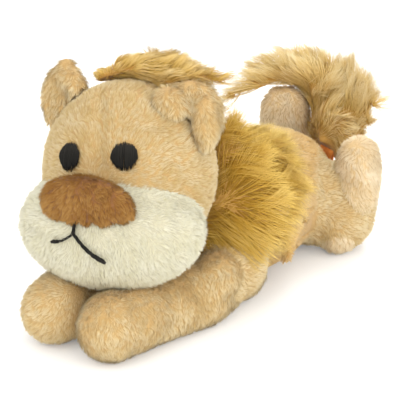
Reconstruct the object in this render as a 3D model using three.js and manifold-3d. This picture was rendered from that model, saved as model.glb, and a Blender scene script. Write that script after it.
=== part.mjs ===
// A small stuffed lion that lies on its belly, with a magnet sewn into each forepaw.
// Millimetres, +Z up. The lion faces -Y, its own left side is +X, and the origin is on the
// flat patch of its belly, on the surface that it lies on.
import * as THREE from 'three';
import { mergeVertices } from 'three/addons/utils/BufferGeometryUtils.js';
import Module from 'manifold-3d';

const wasm = await Module();
wasm.setup();

// Cloth and seams
const plushThickness = 1.6; // backing and pressed pile of the short plush
const seamGap = 0.3; // room between two pieces that touch or are sewn together
const fibreRoom = 0.8; // loose room between the cloth and the fibre inside it
const restCut = 0.5; // how deep a stuffed form is pressed flat where it rests
const overrun = 400; // size of the blocks that cut a form, larger than the lion

// Body
const bodyWidth = 45;
const bodyHeight = 37;
const chestForward = 37; // from the origin to the front end of the body
const rearBack = 28.7; // from the origin back to where the rump begins
const rearAside = 0.6; // how far the rump has slid to the lion's left
const rumpLength = 15;
const rumpTurn = 26; // degrees that the rump is bent to the lion's left
const bodySeamHeight = 15;

// Head
const headAside = -2; // the middle of the head, a little to the lion's right
const headForward = 47;
const headRise = 43.5;
const headHalfWidth = 25;
const headHalfDepth = 20.5;
const headHalfHeight = 25;
const headYaw = 10; // degrees, to the lion's left
const headPitch = 12; // degrees, chin forward and up
const headRoll = 6; // degrees, left ear up
const headTurnRange = 15; // degrees each way about the neck
const headSeamBack = 9; // the face cloth ends this far behind the middle of the head

// Muzzle and its trimmings, placed from the middle of the head
const muzzleHalfWidth = 27;
const muzzleHalfDepth = 17.5;
const muzzleHalfHeight = 17;
const muzzleForward = 9;
const muzzleDrop = 14;
const muzzleAside = -0.8;
const noseHalfWidth = 14.2;
const noseHalfDepth = 4.5;
const noseHalfHeight = 9;
const noseAside = 0.6;
const noseDrop = 6;
const noseTilt = 28; // degrees that the nose leans back with the muzzle
const eyeHalfWidth = 4;
const eyeHalfHeight = 4.2;
const eyeThickness = 0.9;
const eyeAngle = 20; // degrees round the head from its middle line
const eyeRise = 5.5;
const mouthThread = 0.55; // half the width of the stitched line
const mouthStemLength = 5;
const mouthForkDrop = 0.5; // from the middle of the muzzle down to where the mouth forks
const mouthArmLength = 8;
const leftMouthDrop = 4.6;
const rightMouthDrop = 1.8;
const earHalfWidth = 10;
const earHalfDepth = 5;
const earHalfHeight = 11;
const earWall = 1.6;
const earSplay = 20; // degrees that an ear leans out
const earFacing = 22; // degrees that an ear's hollow faces outwards
const earAside = 18.5;
const earRise = 17.8;
const earStagger = 3; // the left ear is sewn on this much lower
const earForward = 1;
const crestWidth = 10;
const crestThickness = 7;
const crestLift = 6; // how high the locks rise off the crown

// Forelegs
const shoulderAside = 15.5;
const shoulderForward = 20;
const elbowAside = 16.5;
const elbowForward = 38;
const wristForward = 62;
const pawForward = 80;
const forelegWidth = 18.5;
const forelegHeight = 17.5;
const shoulderRadius = 8.7;

// Hind legs, placed in the rump's own frame
const leftHipAside = 21;
const rightHipAside = 18;
const hipBack = 5.5;
const footAside = 20.8;
const footBack = 12;
const leftFootHeight = 36;
const rightFootHeight = 40;
const footWidth = 18;
const footDepth = 14;
const footFacing = 35; // degrees that the flat of a foot turns from sideways to back
const hipRadius = 7.5;
const hindLegFold = 70; // degrees that a standing foot folds down outwards

// Tail and label, placed in the rump's own frame
const tailBack = 12;
const tailRise = 25.3;
const tailAside = 13;
const tailOut = 10;
const tailUp = 10.2;
const tailCoreRadius = 2.6;
const tuftHalfWidth = 12;
const tuftHalfDepth = 6;
const tuftHalfHeight = 10;
const tuftReach = 24; // how far the tuft's locks fan out
const tuftLockWidth = 12;
const tuftLockThickness = 7;
const tailDrop = 35; // degrees that the tail folds down backwards
const labelWidth = 7;
const labelLength = 7.5;
const labelAside = 3.7; // the middle of the label, to the lion's right
const ribbonThickness = 0.5;

// Mane
const ruffHalfWidth = 28;
const ruffHalfLength = 13;
const ruffHalfHeight = 28;
const ruffForward = 22;
const ruffRise = 26;
const maneLockWidth = 13;
const maneLockThickness = 6;
const maneDroop = 16; // degrees round the body that a lock droops
const maneReach = 24; // how far the side locks lie back from the ruff
const crownReach = 34; // how far the top locks lie back from the ruff

// Magnets
const magnetRadius = 4.5;
const magnetThickness = 2.5;
const magnetBehindPawTip = 20;
const magnetLift = 3.5; // underside of the pouch above the surface that the paw lies on
const pouchWall = 0.4;
const pouchMouthRadius = 2.5;

// Fineness of the faceted surfaces, in counts
const bodySides = 16;
const bodyRings = 10;
const limbSides = 12;
const limbRings = 8;
const lockSides = 5;
const lockRings = 5;
const headSides = 18;
const headRings = 12;
const smallSides = 10;
const smallRings = 7;
const armholeSides = 16;
const armholeRings = 8;
const fillingSides = 10;
const fillingRings = 7;
const turnSteps = 4;

// Swell along a stuffed form: share of its length, of its half width and of its half depth.
const bodySpineShares = { chest: 0, shoulder: 0.25, waist: 0.5, loin: 0.8, rump: 1 };
const bodySwellShares = [
  [0, 0.86, 0.84], [0.25, 0.98, 0.98], [0.5, 1, 1], [0.78, 0.86, 0.98], [1, 0.64, 0.84],
];
const forelegSpineShares = { shoulder: 0, elbow: 0.3, wrist: 0.7, paw: 1 };
const forelegSwellShares = [
  [0, 0.95, 1], [0.3, 0.9, 0.94], [0.55, 0.96, 0.8], [0.78, 0.98, 0.82], [0.9, 1, 0.97], [1, 1, 1],
];
const hindLegSwellShares = [[0, 0.9, 1], [0.35, 0.9, 0.95], [0.6, 0.9, 0.9], [0.8, 1, 1], [1, 0.96, 0.96]];
const lockSwellShares = [[0, 0.7, 0.75], [0.3, 1, 1], [0.7, 0.72, 0.7], [1, 0.2, 0.25]];
const stitchShares = [0, 0.5, 1]; // where a stitched line bends over the muzzle, along its length
const crestBackShare = 0.15;
// The crest's locks: share of the head's half width, and share of the lift off the crown.
const crestShares = [
  [[-0.25, 0], [-0.42, 0.5], [-0.52, 0.7]],
  [[-0.35, 0], [0, 0.75], [0.45, 0.8]],
  [[-0.05, 0], [0.3, 0.9], [0.8, 0.5]],
  [[0.1, 0], [0.6, 0.7], [1.15, 0.55]],
];
// The mane's locks: degrees round the body, and shares of the reach back, the lift and the droop.
const maneAngles = [-8, 14, 36, 58, 80];
const maneLockShares = [[0, 0.5, 0], [0.55, 0.55, 0.5], [1, 0.2, 1]];
// The tuft's locks: shares of the reach across, back and up.
const tuftLockShares = [
  [[-0.25, -0.35, 0.35], [-0.66, -1.1, 0.03]],
  [[-0.35, -0.2, 0.4], [-0.8, -0.75, 0.25]],
  [[-0.4, 0, 0.35], [-0.85, -0.25, 0.4]],
  [[-0.3, 0.1, 0.3], [-0.6, 0.1, 0.5]],
  [[-0.05, 0.12, 0.3], [-0.05, 0.12, 0.56]],
  [[0.2, 0.12, 0.3], [0.42, 0.12, 0.6]],
  [[0.4, 0.12, 0.25], [0.8, 0.12, 0.5]],
  [[0.55, 0.12, 0.1], [1.08, 0.12, 0.25]],
  [[0.5, 0.12, -0.08], [1.02, 0.12, -0.05]],
  [[0.4, 0.12, -0.18], [0.85, 0.12, -0.3]],
  [[0.1, 0.05, -0.25], [0.3, 0.02, -0.5]],
];
const evenSwellShares = [[0, 1, 1], [1, 1, 1]];
const bluntness = 4; // power of the rounding at the ends of a stuffed form
const squareness = 2.5; // power of the rounding across a stuffed form, 2 for an ellipse

const plushTan = new THREE.MeshStandardMaterial({ color: '#dcb981', roughness: 0.95, metalness: 0 });
const plushCream = new THREE.MeshStandardMaterial({ color: '#ebe4cd', roughness: 0.95, metalness: 0 });
const plushBrown = new THREE.MeshStandardMaterial({ color: '#99703f', roughness: 0.95, metalness: 0 });
const longPile = new THREE.MeshStandardMaterial({ color: '#bd9448', roughness: 0.85, metalness: 0 });
const blackThread = new THREE.MeshStandardMaterial({ color: '#2b2926', roughness: 0.6, metalness: 0 });
const orangeRibbon = new THREE.MeshStandardMaterial({ color: '#dc7a1a', roughness: 0.7, metalness: 0 });
const whiteFibre = new THREE.MeshStandardMaterial({ color: '#f1efe9', roughness: 1, metalness: 0 });
const pouchCotton = new THREE.MeshStandardMaterial({ color: '#e6e2d8', roughness: 0.9, metalness: 0 });
const nickelPlate = new THREE.MeshStandardMaterial({ color: '#b9bbbd', roughness: 0.3, metalness: 1 });

const toRadians = THREE.MathUtils.degToRad;
const upwards = new THREE.Vector3(0, 0, 1);
const lion = new THREE.Group();

// From a three.js geometry to a solid and back

function solidOf(geometry) {
  const bare = geometry.clone();
  bare.deleteAttribute('normal');
  bare.deleteAttribute('uv');
  const merged = mergeVertices(bare);
  return new wasm.Manifold(new wasm.Mesh({
    numProp: 3,
    vertProperties: new Float32Array(merged.attributes.position.array),
    triVerts: new Uint32Array(merged.index.array),
  }));
}

function geometryOf(solid) {
  const { vertProperties, triVerts } = solid.getMesh();
  const geometry = new THREE.BufferGeometry();
  geometry.setAttribute('position', new THREE.BufferAttribute(new Float32Array(vertProperties), 3));
  geometry.setIndex(new THREE.BufferAttribute(new Uint32Array(triVerts), 1));
  geometry.computeVertexNormals();
  return geometry;
}

function addPiece(name, solid, material) {
  const mesh = new THREE.Mesh(geometryOf(solid), material.clone());
  mesh.name = name;
  lion.add(mesh);
}

// Cuts

/** The block of space beyond a plane, on the side that its normal points to. */
function spaceBeyond(point, normal, setBack = 0) {
  const direction = normal.clone().normalize();
  const block = new THREE.BoxGeometry(overrun, overrun, overrun);
  block.translate(0, 0, overrun / 2);
  block.applyQuaternion(new THREE.Quaternion().setFromUnitVectors(upwards, direction));
  const corner = point.clone().addScaledVector(direction, setBack);
  block.translate(corner.x, corner.y, corner.z);
  return solidOf(block);
}

const floor = spaceBeyond(new THREE.Vector3(), new THREE.Vector3(0, 0, -1));

/** A stuffed form pressed flat where it rests. */
function rested(solid) {
  return solid.subtract(floor);
}

/** The two halves of a shell either side of a seam, the first where the normal points. */
function halvesAt(solid, point, normal) {
  const first = solid.intersect(spaceBeyond(point, normal, seamGap / 2));
  const second = solid.intersect(spaceBeyond(point, normal.clone().negate(), seamGap / 2));
  return [first, second];
}

function turnedAbout(solid, pivot, axis, degrees) {
  const turn = new THREE.Matrix4().makeTranslation(pivot);
  turn.multiply(new THREE.Matrix4().makeRotationAxis(axis, toRadians(degrees)));
  turn.multiply(new THREE.Matrix4().makeTranslation(pivot.clone().negate()));
  return solidOf(geometryOf(solid).applyMatrix4(turn));
}

/** The room that a solid takes as it turns from one angle to another, in degrees. */
function sweptRoom(solid, pivot, axis, fromDegrees, toDegrees) {
  let room = solid;
  for (let step = 0; step <= turnSteps; step++) {
    const angle = fromDegrees + ((toDegrees - fromDegrees) * step) / turnSteps;
    room = room.add(turnedAbout(solid, pivot, axis, angle));
  }
  return room;
}

// Stuffed forms

/** The shares of the half width and half depth at a share of a form's length. */
function swellAt(swellShares, along) {
  let next = 1;
  while (next < swellShares.length - 1 && swellShares[next][0] < along) next++;
  const [fromAlong, fromSide, fromDeep] = swellShares[next - 1];
  const [toAlong, toSide, toDeep] = swellShares[next];
  const ease = THREE.MathUtils.smoothstep(along, fromAlong, toAlong);
  return [THREE.MathUtils.lerp(fromSide, toSide, ease), THREE.MathUtils.lerp(fromDeep, toDeep, ease)];
}

/** How high a form's spine runs where its underside is pressed flat on the surface. */
function restedLevel(swellShares, along, height) {
  return (swellAt(swellShares, along)[1] * height) / 2 - restCut;
}

function squared(wave) {
  return Math.sign(wave) * Math.abs(wave) ** (2 / squareness);
}

/**
 * A closed stuffed form round a spine. Its rings swell and taper by the form's shares, its ends are
 * round, and grow makes the whole form larger, or smaller for what lies inside its cloth.
 */
function stuffedForm(form, grow = 0) {
  const { spine, side, halfWidth, halfDepth, swellShares, sides, rings } = form;
  const growShare = grow / spine.getLength();
  const points = [];
  const faces = [];
  for (let ring = 0; ring <= rings; ring++) {
    const step = (1 - Math.cos((Math.PI * ring) / rings)) / 2;
    const along = -growShare + (1 + 2 * growShare) * step;
    const held = THREE.MathUtils.clamp(along, 0, 1);
    const tangent = spine.getTangentAt(held);
    const middle = spine.getPointAt(held).addScaledVector(tangent, (along - held) * spine.getLength());
    const deepAxis = tangent.clone().cross(side).normalize();
    const sideAxis = deepAxis.clone().cross(tangent);
    if (ring === 0 || ring === rings) {
      points.push(middle);
      continue;
    }
    const rounding = Math.sqrt(1 - Math.abs(2 * step - 1) ** bluntness);
    const [sideShare, deepShare] = swellAt(swellShares, held);
    for (let corner = 0; corner < sides; corner++) {
      const angle = (2 * Math.PI * corner) / sides;
      const outwards = (halfWidth * sideShare + grow) * rounding * squared(Math.cos(angle));
      const acrossways = (halfDepth * deepShare + grow) * rounding * squared(Math.sin(angle));
      points.push(middle.clone().addScaledVector(sideAxis, outwards).addScaledVector(deepAxis, acrossways));
    }
  }
  const lastPoint = points.length - 1;
  const at = (ring, corner) => 1 + (ring - 1) * sides + (corner % sides);
  for (let corner = 0; corner < sides; corner++) {
    faces.push(0, at(1, corner + 1), at(1, corner));
    faces.push(lastPoint, at(rings - 1, corner), at(rings - 1, corner + 1));
    for (let ring = 1; ring < rings - 1; ring++) {
      faces.push(at(ring, corner), at(ring, corner + 1), at(ring + 1, corner + 1));
      faces.push(at(ring, corner), at(ring + 1, corner + 1), at(ring + 1, corner));
    }
  }
  const geometry = new THREE.BufferGeometry().setFromPoints(points);
  geometry.setIndex(faces);
  return solidOf(geometry);
}

/** A form with the plainer surface of the loose fibre inside a shell. */
function fibre(form) {
  return { ...form, sides: fillingSides, rings: fillingRings };
}

/** An egg-shaped form: half sizes along X, Y and Z, turned and set at its place. */
function eggForm(egg, grow = 0) {
  const { halfSizes, centre, turn = new THREE.Euler(), sides = smallSides, rings = smallRings } = egg;
  const geometry = new THREE.SphereGeometry(1, sides, rings);
  geometry.rotateX(Math.PI / 2);
  geometry.scale(halfSizes.x + grow, halfSizes.y + grow, halfSizes.z + grow);
  geometry.applyQuaternion(new THREE.Quaternion().setFromEuler(turn));
  geometry.translate(centre.x, centre.y, centre.z);
  return geometry;
}

/** A lock of long pile that runs through its points and narrows to its tip. */
function furLock(points, side, width, thickness) {
  return stuffedForm({
    spine: new THREE.CatmullRomCurve3(points),
    side,
    halfWidth: width / 2,
    halfDepth: thickness / 2,
    swellShares: lockSwellShares,
    sides: lockSides,
    rings: lockRings,
  });
}

// The rump's own frame, which the hind legs, the tail and the label share

const rumpFrame = new THREE.Matrix4().makeTranslation(rearAside, rearBack, 0);
rumpFrame.multiply(new THREE.Matrix4().makeRotationZ(toRadians(-rumpTurn)));

function inRump(x, y, z) {
  return new THREE.Vector3(x, y, z).applyMatrix4(rumpFrame);
}

function alongRump(x, y, z) {
  return new THREE.Vector3(x, y, z).transformDirection(rumpFrame);
}

// Body

function bodySpine() {
  const heightAt = (along) => restedLevel(bodySwellShares, along, bodyHeight);
  return new THREE.CatmullRomCurve3([
    new THREE.Vector3(0, -chestForward, heightAt(bodySpineShares.chest)),
    new THREE.Vector3(0, -chestForward / 2, heightAt(bodySpineShares.shoulder)),
    new THREE.Vector3(0, 0, heightAt(bodySpineShares.waist)),
    new THREE.Vector3(rearAside, rearBack, heightAt(bodySpineShares.loin)),
    inRump(0, rumpLength, heightAt(bodySpineShares.rump)),
  ]);
}

const bodyForm = {
  spine: bodySpine(),
  side: upwards,
  halfWidth: bodyHeight / 2,
  halfDepth: bodyWidth / 2,
  swellShares: bodySwellShares.map(([along, wide, high]) => [along, high, wide]),
  sides: bodySides,
  rings: bodyRings,
};

// Head

const headCentre = new THREE.Vector3(headAside, -headForward, headRise);
const headTurn = new THREE.Euler(-toRadians(headPitch), -toRadians(headRoll), toRadians(headYaw), 'ZYX');
const headFrame = new THREE.Matrix4().makeRotationFromEuler(headTurn).setPosition(headCentre);

function inHead(x, y, z) {
  return new THREE.Vector3(x, y, z).applyMatrix4(headFrame);
}

function alongHead(x, y, z) {
  return new THREE.Vector3(x, y, z).transformDirection(headFrame);
}

function headPiece(egg, grow = 0) {
  return solidOf(eggForm(egg, grow).applyMatrix4(headFrame));
}

const headEgg = {
  halfSizes: new THREE.Vector3(headHalfWidth, headHalfDepth, headHalfHeight),
  centre: new THREE.Vector3(),
  sides: headSides,
  rings: headRings,
};

const muzzleEgg = {
  halfSizes: new THREE.Vector3(muzzleHalfWidth, muzzleHalfDepth, muzzleHalfHeight),
  centre: new THREE.Vector3(muzzleAside, -muzzleForward, -muzzleDrop),
  sides: headSides,
  rings: headRings,
};

/** The head and the muzzle together, grown or shrunk alike. */
function headAndMuzzle(grow) {
  return headPiece(headEgg, grow).add(headPiece(muzzleEgg, grow));
}

/** How far forward the muzzle's surface lies at a place across and above its middle. */
function muzzleFrontAt(across, above) {
  const room = 1 - (across / muzzleHalfWidth) ** 2 - (above / muzzleHalfHeight) ** 2;
  return muzzleForward + muzzleHalfDepth * Math.sqrt(room);
}

const headRoom = headPiece(headEgg, seamGap);
const headSweep = sweptRoom(headRoom, headCentre, upwards, -headTurnRange, headTurnRange);

function addHead() {
  const inside = headAndMuzzle(-plushThickness);
  const skull = headPiece(headEgg).subtract(inside).subtract(headPiece(muzzleEgg, seamGap));
  const [back, front] = halvesAt(skull, inHead(0, headSeamBack, 0), alongHead(0, 1, 0));
  const [left, right] = halvesAt(front, inHead(0, 0, 0), alongHead(1, 0, 0));
  addPiece('face_left_panel', left, plushTan);
  addPiece('face_right_panel', right, plushTan);
  addPiece('head_back_panel', back, plushTan);
  addPiece('muzzle_panel', headPiece(muzzleEgg).subtract(inside), plushCream);
  const skullFibre = headPiece(fibre(headEgg), -plushThickness - fibreRoom);
  const muzzleFibre = headPiece(fibre(muzzleEgg), -plushThickness - fibreRoom);
  addPiece('head_filling', skullFibre.add(muzzleFibre), whiteFibre);
}

const noseEgg = {
  halfSizes: new THREE.Vector3(noseHalfWidth, noseHalfDepth, noseHalfHeight),
  centre: new THREE.Vector3(noseAside, -muzzleFrontAt(0, muzzleDrop - noseDrop), -noseDrop),
  turn: new THREE.Euler(toRadians(noseTilt), 0, 0),
};

function addNose() {
  addPiece('nose_patch', headPiece(noseEgg).subtract(headAndMuzzle(seamGap)), plushBrown);
}

function addEye(name, mirror) {
  const angle = toRadians(eyeAngle) * mirror;
  const level = Math.sqrt(1 - (eyeRise / headHalfHeight) ** 2);
  const across = headHalfWidth * level * Math.sin(angle);
  const forward = headHalfDepth * level * Math.cos(angle);
  const eye = {
    halfSizes: new THREE.Vector3(eyeHalfWidth, eyeThickness + seamGap, eyeHalfHeight),
    centre: new THREE.Vector3(across, -forward, eyeRise),
    turn: new THREE.Euler(0, 0, angle),
  };
  addPiece(name, headPiece(eye).subtract(headRoom), blackThread);
}

/** A line of satin stitch laid on the muzzle from one place to another, across and above its middle. */
function stitchedLine(from, to) {
  const lift = mouthThread + seamGap;
  const points = stitchShares.map((share) => {
    const across = THREE.MathUtils.lerp(from.x, to.x, share);
    const above = THREE.MathUtils.lerp(from.y, to.y, share);
    return inHead(muzzleAside + across, -muzzleFrontAt(across, above) - lift, above - muzzleDrop);
  });
  const section = new THREE.Shape().absarc(0, 0, mouthThread, 0, 2 * Math.PI);
  return solidOf(new THREE.ExtrudeGeometry(section, {
    steps: 4,
    curveSegments: 3,
    bevelEnabled: false,
    extrudePath: new THREE.CatmullRomCurve3(points),
  }));
}

function addMouth() {
  const fork = new THREE.Vector2(0, -mouthForkDrop);
  const stem = stitchedLine(new THREE.Vector2(0, mouthStemLength - mouthForkDrop), fork);
  const leftArm = stitchedLine(fork, new THREE.Vector2(mouthArmLength, -mouthForkDrop - leftMouthDrop));
  const rightArm = stitchedLine(fork, new THREE.Vector2(-mouthArmLength, -mouthForkDrop - rightMouthDrop));
  const line = stem.add(leftArm).add(rightArm);
  const clear = headPiece(muzzleEgg, seamGap).add(headPiece(noseEgg, seamGap));
  addPiece('mouth_stitch', line.subtract(clear), blackThread);
}

function earEgg(mirror, rise) {
  return {
    halfSizes: new THREE.Vector3(earHalfWidth, earHalfDepth, earHalfHeight),
    centre: new THREE.Vector3(earAside * mirror, -earForward, rise),
    turn: new THREE.Euler(0, toRadians(earSplay) * mirror, toRadians(earFacing) * mirror, 'ZYX'),
  };
}

const ears = { left: earEgg(1, earRise - earStagger), right: earEgg(-1, earRise) };

function addEar(side) {
  const { centre, turn } = ears[side];
  const hollowShift = new THREE.Vector3(0, -earHalfDepth + seamGap, 0).applyEuler(turn);
  const hollow = {
    halfSizes: new THREE.Vector3(
      earHalfWidth - 2 * earWall,
      earHalfDepth - earWall,
      earHalfHeight - 2 * earWall,
    ),
    centre: centre.clone().add(hollowShift),
    turn,
  };
  const whole = headPiece(ears[side]).subtract(headRoom);
  addPiece(`${side}_ear_back`, whole.subtract(headPiece(hollow, earWall + seamGap)), plushTan);
  const lining = headPiece(hollow, earWall).subtract(headPiece(hollow));
  addPiece(`${side}_ear_front`, whole.intersect(lining), plushTan);
}

/** How high the crown of the head lies at a place across and behind its middle. */
function crownHeightAt(across, back) {
  return headHalfHeight * Math.sqrt(1 - (across / headHalfWidth) ** 2 - (back / headHalfDepth) ** 2);
}

/** Locks of long pile that spring from the crown seam and fall to the lion's left. */
function addCrest() {
  const back = headHalfDepth * crestBackShare;
  const solids = crestShares.map((lock) => furLock(
    lock.map(([acrossShare, liftShare]) => {
      const across = headHalfWidth * acrossShare;
      const crown = crownHeightAt(Math.min(across, headHalfWidth / 2), back);
      return inHead(across, back, crown + crestLift * liftShare);
    }),
    alongHead(0, 1, 0),
    crestWidth,
    crestThickness,
  ));
  const crest = solids.reduce((sum, lock) => sum.add(lock));
  const earRoom = headPiece(ears.left, seamGap).add(headPiece(ears.right, seamGap));
  addPiece('crest_tuft', crest.subtract(headRoom).subtract(earRoom), longPile);
}

// Limbs

/** A round knuckle about the place where a limb is sewn on and turns. */
function knuckle({ pivot, radius, height }, grow = 0) {
  return solidOf(eggForm({ halfSizes: new THREE.Vector3(radius, radius, height / 2), centre: pivot }, grow));
}

/** The room in the body that a limb's knuckle turns in. */
function armhole({ pivot, radius, height }) {
  const halfSizes = new THREE.Vector3(radius, radius, height / 2);
  return solidOf(eggForm({ halfSizes, centre: pivot, sides: armholeSides, rings: armholeRings }, seamGap));
}

/** A whole limb: its form cut by the body, with the knuckle that it turns on. */
function limbForm(limb, grow = 0) {
  const clear = stuffedForm(bodyForm, seamGap - grow);
  return stuffedForm(limb.form, grow).subtract(clear).add(knuckle(limb, grow));
}

function foreleg(mirror) {
  const level = (along) => restedLevel(forelegSwellShares, along, forelegHeight);
  const { shoulder, elbow, wrist, paw } = forelegSpineShares;
  const pivot = new THREE.Vector3(shoulderAside * mirror, -shoulderForward, level(shoulder));
  const pawAside = ((forelegWidth + seamGap) / 2) * mirror;
  return {
    pivot,
    radius: shoulderRadius,
    height: forelegHeight,
    form: {
      spine: new THREE.CatmullRomCurve3([
        pivot,
        new THREE.Vector3(elbowAside * mirror, -elbowForward, level(elbow)),
        new THREE.Vector3(pawAside, -wristForward, level(wrist)),
        new THREE.Vector3(pawAside, -pawForward, level(paw)),
      ]),
      side: upwards,
      halfWidth: forelegHeight / 2,
      halfDepth: forelegWidth / 2,
      swellShares: forelegSwellShares.map(([along, wide, high]) => [along, high, wide]),
      sides: limbSides,
      rings: limbRings,
    },
  };
}

function hindLeg(mirror, hipAside, footHeight) {
  const level = hipRadius - restCut;
  const facing = toRadians(footFacing);
  const pivot = inRump(hipAside * mirror, hipBack, level);
  const sole = inRump(footAside * mirror, footBack, level);
  return {
    pivot,
    axis: alongRump(0, 1, 0),
    turn: hindLegFold * mirror,
    radius: hipRadius,
    height: 2 * hipRadius,
    form: {
      spine: new THREE.CatmullRomCurve3([
        pivot,
        sole.clone().setZ(level + hipRadius),
        sole.clone().setZ(footHeight),
      ]),
      side: alongRump(Math.cos(facing) * mirror, Math.sin(facing), 0),
      halfWidth: footDepth / 2,
      halfDepth: footWidth / 2,
      swellShares: hindLegSwellShares,
      sides: limbSides,
      rings: limbRings,
    },
  };
}

const forelegs = { left: foreleg(1), right: foreleg(-1) };
const hindLegs = {
  left: hindLeg(1, leftHipAside, leftFootHeight),
  right: hindLeg(-1, rightHipAside, rightFootHeight),
};

/** The two cloth halves of a limb, named first where the seam's normal points, and what fills them. */
function limbPieces(limb, seamNormal) {
  const cloth = rested(limbForm(limb).subtract(limbForm(limb, -plushThickness)));
  const raised = new THREE.Vector3(0, 0, plushThickness + seamGap);
  return {
    halves: halvesAt(cloth, limb.pivot, seamNormal),
    filling: limbForm({ ...limb, form: fibre(limb.form) }, -plushThickness - fibreRoom)
      .intersect(spaceBeyond(raised, upwards)),
  };
}

// Magnets

function discAt(centre, radius, bottom, thickness) {
  const geometry = new THREE.CylinderGeometry(radius, radius, thickness, 2 * smallSides);
  geometry.rotateX(Math.PI / 2);
  geometry.translate(centre.x, centre.y, bottom + thickness / 2);
  return solidOf(geometry);
}

/** A round cotton pouch with its mouth on top, as a turned section about its middle line. */
function pouchAt(centre, bottom) {
  const outer = magnetRadius + seamGap + pouchWall;
  const tall = magnetThickness + 2 * (seamGap + pouchWall);
  const section = [
    [0, 0],
    [outer, 0],
    [outer, tall],
    [pouchMouthRadius, tall],
    [pouchMouthRadius, tall - pouchWall],
    [outer - pouchWall, tall - pouchWall],
    [outer - pouchWall, pouchWall],
    [0, pouchWall],
  ];
  const geometry = new THREE.LatheGeometry(section.map(([x, y]) => new THREE.Vector2(x, y)), 2 * smallSides);
  geometry.rotateX(Math.PI / 2);
  geometry.translate(centre.x, centre.y, bottom);
  return solidOf(geometry);
}

function addForeleg(side) {
  const limb = forelegs[side];
  const { halves, filling } = limbPieces(limb, upwards);
  const paw = limb.form.spine.getPointAt(1).add(new THREE.Vector3(0, magnetBehindPawTip, 0));
  const pouchHeight = magnetThickness + 2 * (seamGap + pouchWall);
  const pouchRadius = magnetRadius + seamGap + pouchWall;
  const recess = discAt(paw, pouchRadius + seamGap, 0, magnetLift + pouchHeight + seamGap);
  addPiece(`${side}_foreleg_upper`, halves[0], plushTan);
  addPiece(`${side}_foreleg_under`, halves[1], plushTan);
  addPiece(`${side}_foreleg_filling`, filling.subtract(recess), whiteFibre);
  addPiece(`${side}_magnet_pouch`, pouchAt(paw, magnetLift), pouchCotton);
  const magnet = discAt(paw, magnetRadius, magnetLift + pouchWall + seamGap, magnetThickness);
  addPiece(`${side}_magnet`, magnet, nickelPlate);
}

function addHindLeg(side) {
  const limb = hindLegs[side];
  const { halves, filling } = limbPieces(limb, limb.form.side);
  addPiece(`${side}_hind_leg_outer`, halves[0], plushTan);
  addPiece(`${side}_hind_leg_inner`, halves[1], plushTan);
  addPiece(`${side}_hind_leg_filling`, filling, whiteFibre);
}

function addBody() {
  const limbs = [...Object.values(forelegs), ...Object.values(hindLegs)];
  const clear = limbs.reduce((sum, limb) => sum.add(armhole(limb)), headSweep);
  const cloth = stuffedForm(bodyForm).subtract(stuffedForm(bodyForm, -plushThickness)).subtract(clear);
  const [upper, lower] = halvesAt(rested(cloth), new THREE.Vector3(0, 0, bodySeamHeight), upwards);
  addPiece('back_panel', upper, plushTan);
  addPiece('belly_panel', lower, plushTan);
  const above = spaceBeyond(new THREE.Vector3(0, 0, plushThickness + seamGap), upwards);
  const stuffing = stuffedForm(bodyForm, -plushThickness - fibreRoom).intersect(above).subtract(clear);
  addPiece('body_filling', stuffing, whiteFibre);
}

// Mane: a ruff of long pile behind the head, with locks that lie back over the body

const ruffEgg = {
  halfSizes: new THREE.Vector3(ruffHalfWidth, ruffHalfLength, ruffHalfHeight),
  centre: new THREE.Vector3(0, -ruffForward, ruffRise),
  sides: headSides,
  rings: headRings,
};

/** A place on the body's skin, at an angle round it and a way back from the ruff. */
function overBody(angle, back, lift) {
  return new THREE.Vector3(
    (bodyWidth / 2 + lift) * Math.cos(toRadians(angle)),
    -ruffForward + back,
    bodyHeight / 2 + (bodyHeight / 2 + lift) * Math.sin(toRadians(angle)),
  );
}

/** A lock that springs from the ruff and droops as it lies back. */
function maneLock(angle, mirror) {
  const reach = THREE.MathUtils.lerp(maneReach, crownReach, Math.max(0, Math.sin(toRadians(angle))));
  const turned = (share) => 90 + (angle - 90 - maneDroop * share) * mirror;
  const points = maneLockShares.map(([backShare, liftShare, droopShare]) => (
    overBody(turned(droopShare), reach * backShare, maneLockThickness * liftShare)
  ));
  const across = toRadians(turned(0));
  const side = new THREE.Vector3(-Math.sin(across), 0, Math.cos(across));
  return furLock(points, side, maneLockWidth, maneLockThickness);
}

function addMane() {
  let fur = solidOf(eggForm(ruffEgg));
  for (const angle of maneAngles) {
    fur = fur.add(maneLock(angle, 1)).add(maneLock(angle, -1));
  }
  fur = fur.subtract(stuffedForm(bodyForm, seamGap)).subtract(headSweep);
  const overForelegs = new THREE.Vector3(0, 0, forelegHeight - restCut + seamGap);
  const behindForelegs = new THREE.Vector3(0, shoulderRadius - shoulderForward + seamGap, 0);
  const forelegRoom = spaceBeyond(overForelegs, upwards.clone().negate())
    .intersect(spaceBeyond(behindForelegs, new THREE.Vector3(0, -1, 0)));
  fur = rested(fur.subtract(forelegRoom));
  const [left, right] = halvesAt(fur, new THREE.Vector3(), new THREE.Vector3(1, 0, 0));
  addPiece('mane_left', left, longPile);
  addPiece('mane_right', right, longPile);
}

// Tail and label

const tailRoot = new THREE.Vector3(0, tailBack, tailRise);
const tailEnd = tailRoot.clone().add(new THREE.Vector3(-tailAside, tailOut, tailUp));

function tailCore(grow = 0) {
  return stuffedForm({
    spine: new THREE.CatmullRomCurve3([inRump(...tailRoot), inRump(...tailEnd)]),
    side: alongRump(0, 0, 1),
    halfWidth: tailCoreRadius,
    halfDepth: tailCoreRadius,
    swellShares: evenSwellShares,
    sides: limbSides,
    rings: lockRings,
  }, grow);
}

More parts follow.
